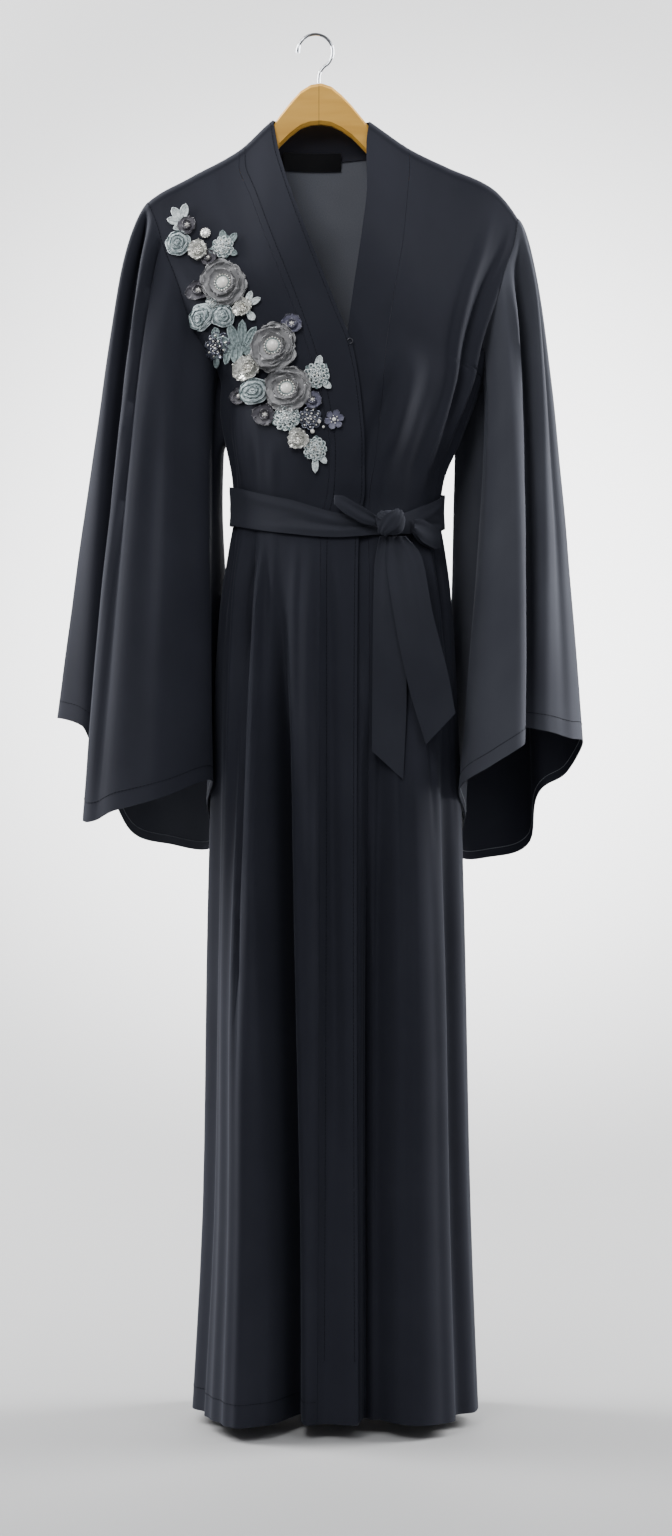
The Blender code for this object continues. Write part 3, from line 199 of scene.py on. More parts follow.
# Sleeves: each row is one place round the cuff, from the underarm over the front, the
# outer edge and the back. Share is its place round the armhole, x, y and z its place on
# the cuff. Lead is how far the cloth runs straight out of the armhole first.
SLEEVE_COLUMNS = ("place", "share", "x", "y", "z", "lead")
SLEEVE_RIGHT = (
    ("inner", 0.000, -0.1245, -0.004, -0.858, 0.010),
    ("front inner", 0.060, -0.1180, -0.052, -0.829, 0.012),
    ("front", 0.150, -0.168, -0.084, -0.847, 0.018),
    ("front outer", 0.260, -0.222, -0.078, -0.862, 0.022),
    ("front edge", 0.345, -0.257, -0.046, -0.872, 0.024),
    ("valley", 0.400, -0.236, -0.008, -0.806, 0.026),
    ("outer front", 0.455, -0.262, -0.004, -0.770, 0.028),
    ("tip", 0.500, -0.293, 0.018, -0.760, 0.030),
    ("outer back", 0.560, -0.268, 0.046, -0.768, 0.030),
    ("back valley", 0.640, -0.243, 0.046, -0.830, 0.028),
    ("back outer", 0.740, -0.214, 0.072, -0.888, 0.024),
    ("back", 0.850, -0.170, 0.086, -0.903, 0.018),
    ("back inner", 0.945, -0.1200, 0.062, -0.905, 0.012),
)
SLEEVE_LEFT = (
    ("inner", 0.000, 0.1630, 0.002, -0.872, 0.010),
    ("front inner", 0.070, 0.1550, -0.052, -0.838, 0.012),
    ("front", 0.160, 0.188, -0.080, -0.813, 0.016),
    ("front ridge", 0.250, 0.222, -0.074, -0.790, 0.020),
    ("front valley", 0.310, 0.221, -0.032, -0.772, 0.022),
    ("outer front", 0.380, 0.250, -0.034, -0.775, 0.026),
    ("outer", 0.450, 0.280, -0.018, -0.783, 0.028),
    ("tip", 0.510, 0.295, 0.012, -0.788, 0.030),
    ("outer back", 0.570, 0.278, 0.040, -0.822, 0.030),
    ("back valley", 0.640, 0.250, 0.044, -0.842, 0.028),
    ("back outer", 0.730, 0.238, 0.076, -0.902, 0.024),
    ("back", 0.850, 0.192, 0.086, -0.918, 0.018),
    ("back inner", 0.945, 0.1570, 0.060, -0.914, 0.012),
)
SLEEVE_PULL = 0.40
ARMHOLE_STEP = 0.017
UNDERARM_CLEAR = 0.0017
UNDERARM_SHARE = 0.32

# Belt round the waist: turn in degrees as for the folds, level of its middle, and height
BELT_COLUMNS = ("turn", "level", "height")
BELT = (
    (-180, -0.5240, 0.044),
    (-90, -0.5250, 0.043),
    (-30, -0.5400, 0.038),
    (5, -0.5515, 0.025),
    (30, -0.5500, 0.020),
    (55, -0.5429, 0.032),
    (90, -0.5310, 0.038),
    (180, -0.5240, 0.044),
)
BELT_OFF = 0.0046
KNOT_X = 0.0787
KNOT_Z = -0.5489
KNOT_WIDE = 0.034
KNOT_TALL = 0.029
KNOT_DEEP = 0.020
KNOT_SQUARE = 0.80

# Bow loops, from the knot out to the tip: x, level of the middle, height
LOOP_COLUMNS = ("x", "level", "height")
LOOP_RIGHT = (
    (0.0587, -0.5470, 0.011),
    (0.0437, -0.5395, 0.018),
    (0.0287, -0.5300, 0.018),
    (0.0177, -0.5240, 0.010),
)
LOOP_LEFT = (
    (0.0972, -0.5510, 0.013),
    (0.1065, -0.5570, 0.025),
    (0.1170, -0.5625, 0.025),
    (0.1245, -0.5650, 0.016),
)
LOOP_BACK = 0.0036
LOOP_FRONT = 0.0105

# Belt tails, top to end: right and left edges
# Columns: right_x, right_z, left_x, left_z
TAIL_BACK = (
    (0.0667, -0.5632, 0.0867, -0.5627),
    (0.0610, -0.5953, 0.0934, -0.5946),
    (0.0590, -0.6640, 0.0952, -0.6636),
    (0.0585, -0.7322, 0.0956, -0.7370),
    (0.0580, -0.7975, 0.0921, -0.8287),
)
TAIL_FRONT = (
    (0.0747, -0.5639, 0.0947, -0.5637),
    (0.0738, -0.5901, 0.1114, -0.5840),
    (0.0834, -0.6588, 0.1241, -0.6480),
    (0.0990, -0.7321, 0.1413, -0.7163),
    (0.1167, -0.7906, 0.1486, -0.7566),
)
TAILS_X = (0.056, 0.132)
TAIL_ROWS = 9
TAIL_CELLS = 4
TAIL_BACK_OFF = 0.0036
TAIL_FRONT_OFF = 0.0072
TAIL_LEAN_BACK = 0.0010

# Neck stand: how far it leans in over its height, and how far its top dips behind
NECK_LEAN = 0.009
NECK_DIP = 0.001
NECK_ROUND = 0.62

# Label inside the back neck
LABEL_X = (-0.0400, 0.0245)
LABEL_Z = (-0.1265, -0.1450)
LABEL_THICK = 0.0010
LABEL_OFF = (0.0050, 0.0022)

FLOWER_FULLER = 1.08

# Finer cloth
FINE_CLOTH = 0.0012
FINE_BACK = tuple(count * FINE_ACROSS for count in BACK_CELLS)
SLEEVE_FINE_STEPS = 72
BELT_FINE_THICK = 0.0014
BELT_FINE_CELLS = 264
BELT_FINE_ACROSS = 16
TAIL_FINE_ROWS = 64
TAIL_FINE_CELLS = 20
LOOP_FINE_AROUND = 26
LOOP_FINE_ACROSS = 14
STITCH_OFF = 0.00012
STITCH_PITCH = 0.0042
STITCH_LENGTH = 0.0030
STITCH_THICK = 0.00055
OVERLOCK_PITCH = 0.0026
OVERLOCK_LENGTH = 0.0020
OVERLOCK_THICK = 0.0008
FINE_SEAM_TUCK = 0.0006
NECK_TUCK = (0.0, -0.0012, -0.0016)
SHARP_TURN = 1.1
HEM_STITCH_SHARE = 0.65

# Long folds of the sleeves: share round the sleeve at the armhole and at the cuff, how far
# down each begins and is full, its reach and its height
# Columns: name, share_top, share_foot, start, full, reach, height
SLEEVE_FOLD_SPENT = 0.7
SLEEVE_FOLDS_RIGHT = (
    ("column edge", 0.400, 0.335, 0.02, 0.22, 0.050, 0.0100),
    ("column valley", 0.450, 0.395, 0.02, 0.20, 0.045, -0.0150),
    ("outer ridge", 0.490, 0.455, 0.04, 0.30, 0.030, 0.0060),
    ("shoulder line", 0.360, 0.300, 0.01, 0.08, 0.020, -0.0055),
    ("front hollow", 0.250, 0.210, 0.20, 0.60, 0.070, -0.0050),
    ("front swell", 0.170, 0.140, 0.25, 0.70, 0.060, 0.0040),
    ("back hollow", 0.680, 0.690, 0.10, 0.50, 0.060, -0.0080),
    ("back swell", 0.780, 0.790, 0.20, 0.60, 0.070, 0.0060),
)
SLEEVE_FOLDS_LEFT = (
    ("column edge", 0.330, 0.250, 0.04, 0.30, 0.050, 0.0080),
    ("column valley", 0.390, 0.312, 0.04, 0.26, 0.050, -0.0210),
    ("outer ridge", 0.440, 0.375, 0.05, 0.30, 0.040, 0.0070),
    ("outer line", 0.480, 0.430, 0.03, 0.20, 0.026, -0.0045),
    ("front hollow", 0.210, 0.180, 0.25, 0.70, 0.050, -0.0035),
    ("back hollow", 0.650, 0.660, 0.10, 0.50, 0.060, -0.0080),
    ("back swell", 0.780, 0.790, 0.20, 0.60, 0.070, 0.0060),
)

# How far the inner back of each sleeve is drawn in beside the body, from the armhole down
SLEEVE_DRAW_RIGHT = (
    (0.00, 0.0), (0.04, 0.006), (0.10, 0.020), (0.16, 0.028), (0.22, 0.034), (0.28, 0.034),
    (0.33, 0.018), (0.45, 0.016), (0.60, 0.020),
    (0.80, 0.012), (1.00, 0.0),
)
SLEEVE_DRAW_LEFT = (
    (0.00, 0.0), (0.04, 0.005), (0.10, 0.020), (0.18, 0.034), (0.42, 0.032), (0.65, 0.026), (0.85, 0.012),
    (1.00, 0.0),
)
SLEEVE_DRAW_SHARE = 0.93
SLEEVE_DRAW_REACH = 0.09

# Creases of the belt: turns where each starts and ends, place across it at both, reach, height
# Columns: name, start, end, across_start, across_end, reach, height
BELT_CREASES = (
    ("a", -62, 28, 0.70, 0.25, 0.34, 0.0012),
    ("b", -30, 30, -0.10, -0.05, 0.30, -0.0014),
    ("c", -48, 27, -0.75, -0.35, 0.30, 0.0010),
    ("d", 2, 30, 0.55, 0.10, 0.24, -0.0012),
    ("e", 48, 82, 0.10, 0.65, 0.34, 0.0012),
    ("f", 50, 74, -0.20, -0.60, 0.30, -0.0012),
    ("g", -150, -80, 0.30, -0.20, 0.40, 0.0008),
    ("h", 95, 160, -0.30, 0.25, 0.40, 0.0008),
    ("i", -176, -120, -0.60, -0.20, 0.30, -0.0007),
    ("j", 120, 178, 0.50, 0.55, 0.30, -0.0007),
)

# Turns of belt over the knot: slant in degrees, width, start and end, swell and lift
KNOT_TURNS = (
    (38.0, 0.0150, -98.0, 98.0, 1.06, 0.02),
    (-52.0, 0.0110, 8.0, 100.0, 1.00, 0.02),
)

# Camera, floor and light
CAMERA_LENS = 71.5
CAMERA_PLACE = (0.0190, -3.4, -0.8159)
FLOOR_LEVEL = -1.542
BACKDROP_Y = 2.2
BACKDROP_TOP = 1.1
BACKDROP_HALF = 1.1
NARROW_RISE = 0.10
FLOOR_HALF = 7.0
FLOOR_FRONT = -6.0
SWEEP_STEPS = 24
SWEEP = 1.4
# Painted pool of light on the floor and backdrop paper: brightest round this point, fading to the dim colour
# beyond the far reach
PAINTED_LIGHT_POOL_CENTRE = (0.15, 2.1, -0.55)
PAINTED_LIGHT_POOL_REACH = 0.25
PAINTED_LIGHT_FADE_REACH = 1.25
AIR_STRENGTH = 0.36
SOFTBOXES = (
    ("key_left", (-0.8, -2.0, 1.1), (0.0, 0.0, -0.25), (1.0, 1.2), 44.0, (1.0, 1.0, 1.0)),
    ("fill_right", (1.4, -1.9, 0.9), (0.0, 0.0, -0.30), (1.0, 1.2), 14.0, (0.95, 0.97, 1.0)),
    ("top", (0.0, -0.4, 2.2), (0.0, 0.0, -0.8), (2.0, 1.6), 30.0, (1.0, 1.0, 1.0)),
    ("backdrop_left", (-1.8, 0.6, 0.6), (-0.1, 2.2, -0.3), (1.6, 2.0), 250.0, (1.0, 1.0, 1.0)),
    ("backdrop_right", (1.9, 0.6, 0.4), (0.2, 2.2, -0.3), (1.6, 2.0), 235.0, (1.0, 1.0, 1.0)),
)

# Smaller creases of the body, in the same columns as its folds
CREASES = (
    ("right chest fall", -0.22, -0.32, -0.50, -58, -46, 9, 6, 0.0030),
    ("right chest hollow", -0.24, -0.34, -0.50, -46, -36, 7, 8, -0.0024),
    ("left chest fall", -0.19, -0.32, -0.52, 45, 53, 5, 3.5, 0.0052),
    ("left chest hollow", -0.20, -0.32, -0.52, 52, 59, 4.5, 3.5, -0.0066),
    ("left side fall", -0.22, -0.32, -0.54, 61, 66, 5, 4, 0.0066),
    ("left side hollow", -0.24, -0.34, -0.54, 70, 73, 5, 4, -0.0066),
    ("right side billow", -0.36, -0.43, -0.51, -90, -86, 18, 15, 0.0090),
    ("belt pleat a", -0.545, -0.60, -0.86, -60, -56, 4, 3, 0.0030),
    ("belt pleat b", -0.545, -0.60, -0.98, -46, -43, 3, 3, -0.0032),
    ("belt pleat c", -0.545, -0.62, -0.82, -22, -18, 4, 3, 0.0024),
    ("belt pleat d", -0.545, -0.60, -0.92, 46, 48, 3, 4, -0.0034),
    ("belt pleat e", -0.545, -0.60, -0.80, 56, 60, 4, 3, 0.0030),
    ("belt pleat f", -0.545, -0.60, -0.90, 68, 72, 3, 3, -0.0030),
    ("belt pleat g", -0.545, -0.62, -0.84, 118, 120, 4, 5, 0.0032),
    ("belt pleat h", -0.545, -0.62, -0.95, 140, 142, 4, 4, -0.0032),
    ("belt pleat i", -0.545, -0.62, -0.88, -170, -169, 5, 4, 0.0030),
    ("belt pleat j", -0.545, -0.62, -0.98, -150, -150, 4, 4, -0.0032),
    ("belt pleat k", -0.545, -0.62, -0.84, -126, -124, 4, 5, 0.0030),
    ("valley wall", -0.545, -0.62, -1.20, -39, -29, 3, 5, -0.006),
    ("column lip", -0.545, -0.62, -1.25, -43, -30, 4, 2, 0.005),
    ("column pleat", -0.545, -0.60, -1.15, -51, -40, 2, 4, -0.006),
    ("middle lift", -0.56, -0.68, -1.30, -14, -8, 8, 5, 0.006),
    ("middle dip", -0.56, -0.66, -1.25, -4, 1, 5, 5, -0.006),
    ("column deep valley", -0.60, -1.05, HEM_FOOT, -27, -19, 6, 5, -0.013),
    ("slit deep valley", -0.60, -1.10, HEM_FOOT, 16, 13, 5, 5, -0.026),
    ("column edge line", -0.62, -0.95, HEM_FOOT, -34, -26, 3, 2, 0.0042),
    ("column soft line", -0.66, -1.00, HEM_FOOT, -44, -40, 4, 4, -0.0030),
    ("left panel line", -0.62, -0.95, HEM_FOOT, 30, 25, 3, 3, 0.0030),
    ("left panel swell", -0.70, -1.10, HEM_FOOT, 50, 50, 7, 7, 0.0040),
    ("back line a", -0.66, -1.00, HEM_FOOT, 170, 172, 4, 4, -0.0040),
    ("back line b", -0.70, -1.10, HEM_FOOT, -145, -146, 4, 4, 0.0040),
    ("back line c", -0.66, -1.05, HEM_FOOT, 120, 118, 5, 4, -0.0040),
    ("shoulder blade fall", -0.20, -0.32, -0.50, 150, 152, 12, 12, -0.0040),
    ("shoulder blade fall two", -0.21, -0.33, -0.50, -148, -150, 11, 12, -0.0045),
)


@functools.lru_cache(maxsize=None)
def flow_tangents(stations):
    """Slope of the smooth curve at each of its stations."""
    spans = []
    slopes = []
    for (p0, v0), (p1, v1) in zip(stations, stations[1:]):
        spans.append(p1 - p0)
        slopes.append((v1 - v0) / (p1 - p0))
    tangents = [slopes[0]]
    for k in range(1, len(slopes)):
        before = slopes[k - 1]
        after = slopes[k]
        if before * after <= 0.0:
            tangents.append(0.0)
            continue
        w1 = 2.0 * spans[k] + spans[k - 1]
        w2 = spans[k] + 2.0 * spans[k - 1]
        tangents.append((w1 + w2) / (w1 / before + w2 / after))
    tangents.append(slopes[-1])
    return tangents


def flowing(stations, position):
    """Value at a position on a smooth curve through (position, value) stations."""
    if position <= stations[0][0]:
        return stations[0][1]
    if position >= stations[-1][0]:
        return stations[-1][1]
    tangents = flow_tangents(stations)
    i = 0
    while position > stations[i + 1][0]:
        i += 1
    h = stations[i + 1][0] - stations[i][0]
    t = (position - stations[i][0]) / h
    start = stations[i][1]
    end = stations[i + 1][1]
    return (
        start * (2 * t ** 3 - 3 * t ** 2 + 1)
        + tangents[i] * h * (t ** 3 - 2 * t ** 2 + t)
        + end * (3 * t ** 2 - 2 * t ** 3)
        + tangents[i + 1] * h * (t ** 3 - t ** 2)
    )


def column(table, names, key, value):
    """Two named columns of a table as stations in rising order of the key."""
    k = names.index(key)
    v = names.index(value)
    return tuple(sorted((row[k], row[v]) for row in table))


def smooth(t):
    """Ease from 0 to 1."""
    t = min(1.0, max(0.0, t))
    return t * t * (3.0 - 2.0 * t)


def mix(a, b, t):
    """A value between two others, by share."""
    return a + (b - a) * t


SECTION_AT = {
    name: column(SECTIONS, SECTION_COLUMNS, "level", name) for name in SECTION_COLUMNS[1:]
}
SHOULDER_AT = column(SHOULDER, SHOULDER_COLUMNS, "x", "z")
NECK_SEAM_AT = column(NECK_SEAM, NECK_SEAM_COLUMNS, "x", "z")
BELT_LEVEL_AT = column(BELT, BELT_COLUMNS, "turn", "level")
BELT_HEIGHT_AT = column(BELT, BELT_COLUMNS, "turn", "height")
UPPER_EDGE_AT = column(FRONT_RIGHT, FRONT_COLUMNS, "free_z", "free_x")


def shoulder_height(x):
    """The height of the shoulder line at a distance across."""
    return flowing(SHOULDER_AT, x)


def back_top(x):
    """Top edge of the back panel: shoulder seams with the neck seam between them."""
    if NECK_SEAM[0][0] < x < NECK_SEAM[-1][0]:
        return flowing(NECK_SEAM_AT, x)
    return shoulder_height(x)


def section(z):
    """Middle, half width, front depth, back depth and squareness of the body at a level."""
    right = flowing(SECTION_AT["right_side"], z)
    left = flowing(SECTION_AT["left_side"], z)
    return (
        (left + right) / 2.0,
        (left - right) / 2.0,
        flowing(SECTION_AT["front"], z),
        flowing(SECTION_AT["back"], z),
        flowing(SECTION_AT["square"], z),
    )


def turn_at(x, z):
    """Degrees round the front of the body at which the cloth is at x."""
    middle, half, _, _, _ = section(z)
    share = min(1.0, max(-1.0, (x - middle) / half))
    return math.degrees(math.asin(share))


def fold_height(turn, z):
    """How far the folds move the cloth outwards here."""
    total = 0.0
    for _, top, full, foot, turn_top, turn_foot, reach_right, reach_left, height in FOLDS + CREASES:
        if z >= top or z <= foot:
            continue
        rise = smooth((top - z) / (top - full))
        fall = smooth((z - foot) / FOLD_FADE) if foot > HEM_FOOT else 1.0
        centre = mix(turn_top, turn_foot, min(1.0, (top - z) / (top - max(foot, HEM_LEVEL))))
        away = (turn - centre + 180.0) % 360.0 - 180.0
        reach = reach_right if away < 0.0 else reach_left
        share = abs(away) / reach
        if share < 1.0:
            total += height * rise * fall * (0.5 + 0.5 * math.cos(math.pi * share))
    pinch = 1.0 - BELT_PINCH * math.exp(-((z - BELT_LEVEL) / BELT_PINCH_HALF) ** 2)
    return total * pinch


def body_point(turn, z, out=0.0, folds=True):
    """A point of the body's cloth, turn degrees round it at level z, moved outwards."""
    middle, half, front, back, square = section(z)
    angle = math.radians(turn)
    side = math.sin(angle)
    ahead = math.cos(angle)
    depth = front if ahead >= 0.0 else back
    x = middle + half * side
    deep = depth * max(0.0, 1.0 - abs(side) ** square) ** (1.0 / square)
    drop = max(0.0, shoulder_height(x) - z)
    if drop < SHOULDER_ROLL:
        lie = SHOULDER_ROLL * math.sqrt(1.0 - (1.0 - drop / SHOULDER_ROLL) ** 2)
    else:
        share = min(1.0, (drop - SHOULDER_ROLL) / CHEST_DROP)
        lie = mix(SHOULDER_ROLL, deep, math.sin(math.pi / 2.0 * share))
    y = -lie if ahead >= 0.0 else lie
    outwards = Vector((depth * side, -half * ahead, 0.0)).normalized()
    if folds:
        out = out + fold_height(turn, z)
    return Vector((x, y, z)) + outwards * out


def front_point(x, z, out=0.0):
    """The upper front's cloth straight ahead of x, moved out along its own slope."""
    step = 0.002
    here = body_point(turn_at(x, z), z)
    beside = body_point(turn_at(x + step, z), z)
    above = body_point(turn_at(x, z + step), z + step)
    slope = (beside - here).cross(above - here).normalized()
    if slope.y > 0.0:
        slope = -slope
    return here + slope * out


def edge_path(table, x_name, z_name):
    """Rows along a front's table, as (x, z) at each row of cells."""
    xs = tuple((i, row[FRONT_COLUMNS.index(x_name)]) for i, row in enumerate(table))
    zs = tuple((i, row[FRONT_COLUMNS.index(z_name)]) for i, row in enumerate(table))
    path = []
    for i, row in enumerate(table[:-1]):
        count = row[FRONT_COLUMNS.index("rows")] * FINE_DOWN
        for k in range(count):
            at = i + first_rows_closer(k / count) if i == 0 else i + k / count
            path.append((flowing(xs, at), flowing(zs, at)))
    path.append((xs[-1][1], zs[-1][1]))
    return path


def first_rows_closer(t):
    """Rows that roll over the shoulder lie closer together at the top."""
    return t * t


def rows_before(place):
    """How many rows of cells a front has above one of its places."""
    return sum(row[FRONT_COLUMNS.index("rows")] for row in FRONT_RIGHT[:place])


UNDERARM_ROW = rows_before(UNDERARM_PLACE) * FINE_DOWN


def pull_edge(grid, row_edges=(), column_edges=(), gap=SEAM_GAP):
    """Shorten a grid of points by half a seam gap at the named edges, 0 or -1."""
    for edge in row_edges:
        inner = 1 if edge == 0 else -2
        for j, point in enumerate(grid[edge]):
            along = grid[inner][j] - point
            grid[edge][j] = point + along.normalized() * gap / 2.0
    for edge in column_edges:
        inner = 1 if edge == 0 else -2
        for row in grid:
            along = row[inner] - row[edge]
            row[edge] = row[edge] + along.normalized() * gap / 2.0


def lap_inset(x, z):
    """How far the under front lies behind the upper one."""
    past = x - flowing(UPPER_EDGE_AT, z)
    return -LAP * (1.0 - smooth(past / LAP_FADE))


def hung_level(row, turn, level, drop, top):
    """Level of a row: it follows the shoulder line above, and lies level from the underarm."""
    hold = 1.0 - smooth(row / UNDERARM_ROW)
    z = level
    for _ in range(LEVEL_PASSES):
        z = mix(level, top(body_point(turn, z).x) - drop, hold)
    return z


def front_grid(table, cells, under):
    """Grid of a front panel from the band seam to the armhole and side seam."""
    seam = edge_path(table, "seam_x", "seam_z")
    arm = edge_path(table, "arm_x", "arm_z")
    grid = []
    for i, ((seam_x, seam_z), (arm_x, arm_z)) in enumerate(zip(seam, arm)):
        seam_turn = turn_at(seam_x, seam_z)
        arm_turn = turn_at(arm_x, arm_z)
        drops = (shoulder_height(seam_x) - seam_z, shoulder_height(arm_x) - arm_z)
        row = []
        for j in range(cells + 1):
            u = j / cells
            turn = mix(seam_turn, arm_turn, u)
            z = hung_level(i, turn, mix(seam_z, arm_z, u), mix(*drops, u), shoulder_height)
            point = body_point(turn, z)
            if i == 0:
                point = Vector((point.x, 0.0, shoulder_height(point.x)))
            elif under:
                point = body_point(turn, z, lap_inset(point.x, z))
            row.append(point)
        grid.append(row)
    return grid


def band_grid(table, under, cells=BAND_CELLS):
    """Grid of a front band from its free edge to its seam."""
    seam = edge_path(table, "seam_x", "seam_z")
    free = edge_path(table, "free_x", "free_z")
    grid = []
    for i, ((seam_x, seam_z), (free_x, free_z)) in enumerate(zip(seam, free)):
        free_turn = turn_at(free_x, free_z)
        seam_turn = turn_at(seam_x, seam_z)
        row = []
        for j in range(cells + 1):
            turn = mix(free_turn, seam_turn, j / cells)
            z = mix(free_z, seam_z, j / cells)
            point = body_point(turn, z)
            if i == 0:
                point = Vector((point.x, 0.0, shoulder_height(point.x)))
            elif under:
                point = body_point(turn, z, lap_inset(point.x, z))
            row.append(point)
        grid.append(row)
    return grid


def back_grid(cells=BACK_CELLS):
    """Grid of the back panel from the right armhole and side round to the left."""
    right = edge_path(FRONT_RIGHT, "arm_x", "arm_z")
    left = edge_path(FRONT_LEFT, "arm_x", "arm_z")
    neck_right = turn_at(*NECK_SEAM[0])
    neck_left = turn_at(*NECK_SEAM[-1])
    grid = []
    for i, ((right_x, right_z), (left_x, left_z)) in enumerate(zip(right, left)):
        stops = (turn_at(right_x, right_z), neck_right, neck_left, turn_at(left_x, left_z))
        turns = []
        for start, end, count in zip(stops, stops[1:], cells):
            turns += [mix(start, end, k / count) for k in range(count)]
        turns.append(stops[-1])
        drops = (shoulder_height(right_x) - right_z, shoulder_height(left_x) - left_z)
        row = []
        for turn in turns:
            u = (turn - turns[0]) / (turns[-1] - turns[0])
            z = hung_level(i, turn, mix(right_z, left_z, u), mix(*drops, u), back_top)
            point = body_point(180.0 - turn, z)
            if i == 0 and NECK_SEAM[0][0] < point.x < NECK_SEAM[-1][0]:
                point = body_point(180.0 - turn, back_top(point.x))
            elif i == 0:
                point = Vector((point.x, 0.0, shoulder_height(point.x)))
            row.append(point)
        grid.append(row)
    return grid


def neck_band_grid(back, cells):
    """Grid of the neck stand behind the neck, from its free edge down to the neck seam."""
    seam = back[0][FINE_BACK[0]:FINE_BACK[0] + FINE_BACK[1] + 1]
    ends = (band_grid(FRONT_RIGHT, False, cells)[0], band_grid(FRONT_LEFT, True, cells)[0])
    count = len(seam) - 1
    free_right = ends[0][0]
    free_left = ends[1][0]
    stand_depth = seam[count // 2].y - NECK_LEAN
    grid = []
    for i in range(cells + 1):
        row = []
        for j, foot in enumerate(seam):
            u = j / count
            top = free_right.lerp(free_left, u)
            top.y = stand_depth * math.sin(math.pi * u) ** NECK_ROUND
            top.z += NECK_DIP * math.sin(math.pi * u)
            row.append(top.lerp(foot, i / cells))
        grid.append(row)
    for i in range(cells + 1):
        grid[i][0] = ends[0][i].copy()
        grid[i][-1] = ends[1][i].copy()
    return grid


def ring_flow(stations, share):
    """Value at a share round a closed ring, on a smooth curve through the stations."""
    wrapped = [(p - 1.0, v) for p, v in stations[-2:]] + stations
    wrapped += [(p + 1.0, v) for p, v in stations[:3]]
    i = 1
    while wrapped[i + 1][0] <= share:
        i += 1
    (p0, v0), (p1, v1), (p2, v2), (p3, v3) = wrapped[i - 1:i + 3]
    slope1 = (v2 - v0) / (p2 - p0)
    slope2 = (v3 - v1) / (p3 - p1)
    h = p2 - p1
    t = (share - p1) / h
    return (
        v1 * (2 * t ** 3 - 3 * t ** 2 + 1)
        + slope1 * h * (t ** 3 - 2 * t ** 2 + t)
        + v2 * (3 * t ** 2 - 2 * t ** 3)
        + slope2 * h * (t ** 3 - t ** 2)
    )


def armhole_loop(front, back, side):
    """Armhole edge points with their shares, from the underarm up the front, over the top
    and down the back."""
    front_edge = [row[-1] for row in front[:UNDERARM_ROW + 1]]
    back_edge = [row[0 if side < 0 else -1] for row in back[:UNDERARM_ROW + 1]]
    edge = front_edge[::-1] + back_edge[1:]
    loop = []
    way = 0
    for k in range(0, len(edge) - 1, FINE_DOWN):
        steps = 2 if (edge[k + FINE_DOWN] - edge[k]).length > ARMHOLE_STEP else 1
        for m in range(FINE_DOWN):
            loop.append((edge[k + m], way + steps * m / FINE_DOWN))
        way += steps
    return [(point, at / way) for point, at in loop]


def sleeve_grid(table, loop, side, steps):
    """Closed rings of a sleeve from the armhole down to the cuff."""
    top = next(point for point, share in loop if share >= 0.5)
    down = loop[0][0] - top
    out = Vector((side * -down.z, 0.0, side * down.x)).normalized()
    stations = {}
    for k, name in enumerate(SLEEVE_COLUMNS[2:]):
        stations[name] = [(row[1], row[k + 2]) for row in table]
    grid = [[] for _ in steps]
    for edge, share in loop:
        cuff = Vector([ring_flow(stations[name], share) for name in ("x", "y", "z")])
        near = 1.0 - smooth(min(share, 1.0 - share) / UNDERARM_SHARE)
        start = edge + out * mix(-FINE_SEAM_TUCK, UNDERARM_CLEAR * 0.3, near)
        first = start + out * ring_flow(stations["lead"], share)
        second = cuff.lerp(first, SLEEVE_PULL)
        for i, t in enumerate(steps):
            point = start * (1 - t) ** 3 + first * (3 * t * (1 - t) ** 2)
            point += second * (3 * t * t * (1 - t)) + cuff * t ** 3
            grid[i].append(point)
    return grid


def belt_point(turn, across, out=0.0):
    """A point of the belt: turn degrees round, across from -1 at its foot to 1 at its top."""
    level = flowing(BELT_LEVEL_AT, turn)
    height = flowing(BELT_HEIGHT_AT, turn)
    return body_point(turn, level + across * height / 2.0, BELT_OFF + out, folds=False)


def knot_middle():
    """The knot sits on the most forward stretch of the belt behind it."""
    right = belt_point(turn_at(KNOT_X - KNOT_WIDE / 2.0, KNOT_Z), 0.0).y
    middle = belt_point(turn_at(KNOT_X, KNOT_Z), 0.0).y
    y = mix(right, middle, 0.5) - BELT_CLOTH / 2.0 - SEAM_GAP * 2.0 - KNOT_DEEP / 2.0
    return Vector((KNOT_X, y, KNOT_Z))


def loop_grid(table, around=7, across=3):
    """Grid of a bow loop: a band of cloth from the knot out to its tip and back in front."""
    stations = {name: [(row[0], row[k]) for row in table] for k, name in enumerate(LOOP_COLUMNS)}
    start = table[0][0]
    tip = table[-1][0]
    levels = tuple(sorted(stations["level"]))
    heights = tuple(sorted(stations["height"]))
    grid = []
    for i in range(2 * around + 1):
        t = i / (2.0 * around)
        share = 1.0 - abs(2.0 * t - 1.0) ** 1.6
        x = mix(start, tip, share)
        off = BELT_OFF + mix(LOOP_BACK, LOOP_FRONT, smooth(t))
        middle = flowing(levels, x)
        height = flowing(heights, x)
        row = []
        for j in range(across + 1):
            z = middle + height * (0.5 - j / across)
            point = body_point(turn_at(x, KNOT_Z), KNOT_Z, off, folds=False)
            row.append(Vector((point.x, point.y, z)))
        grid.append(row)
    return grid


def skirt_ahead(x, z):
    """How far forward the skirt's cloth reaches at x, with the folds."""
    return body_point(turn_at(x, z), z).y


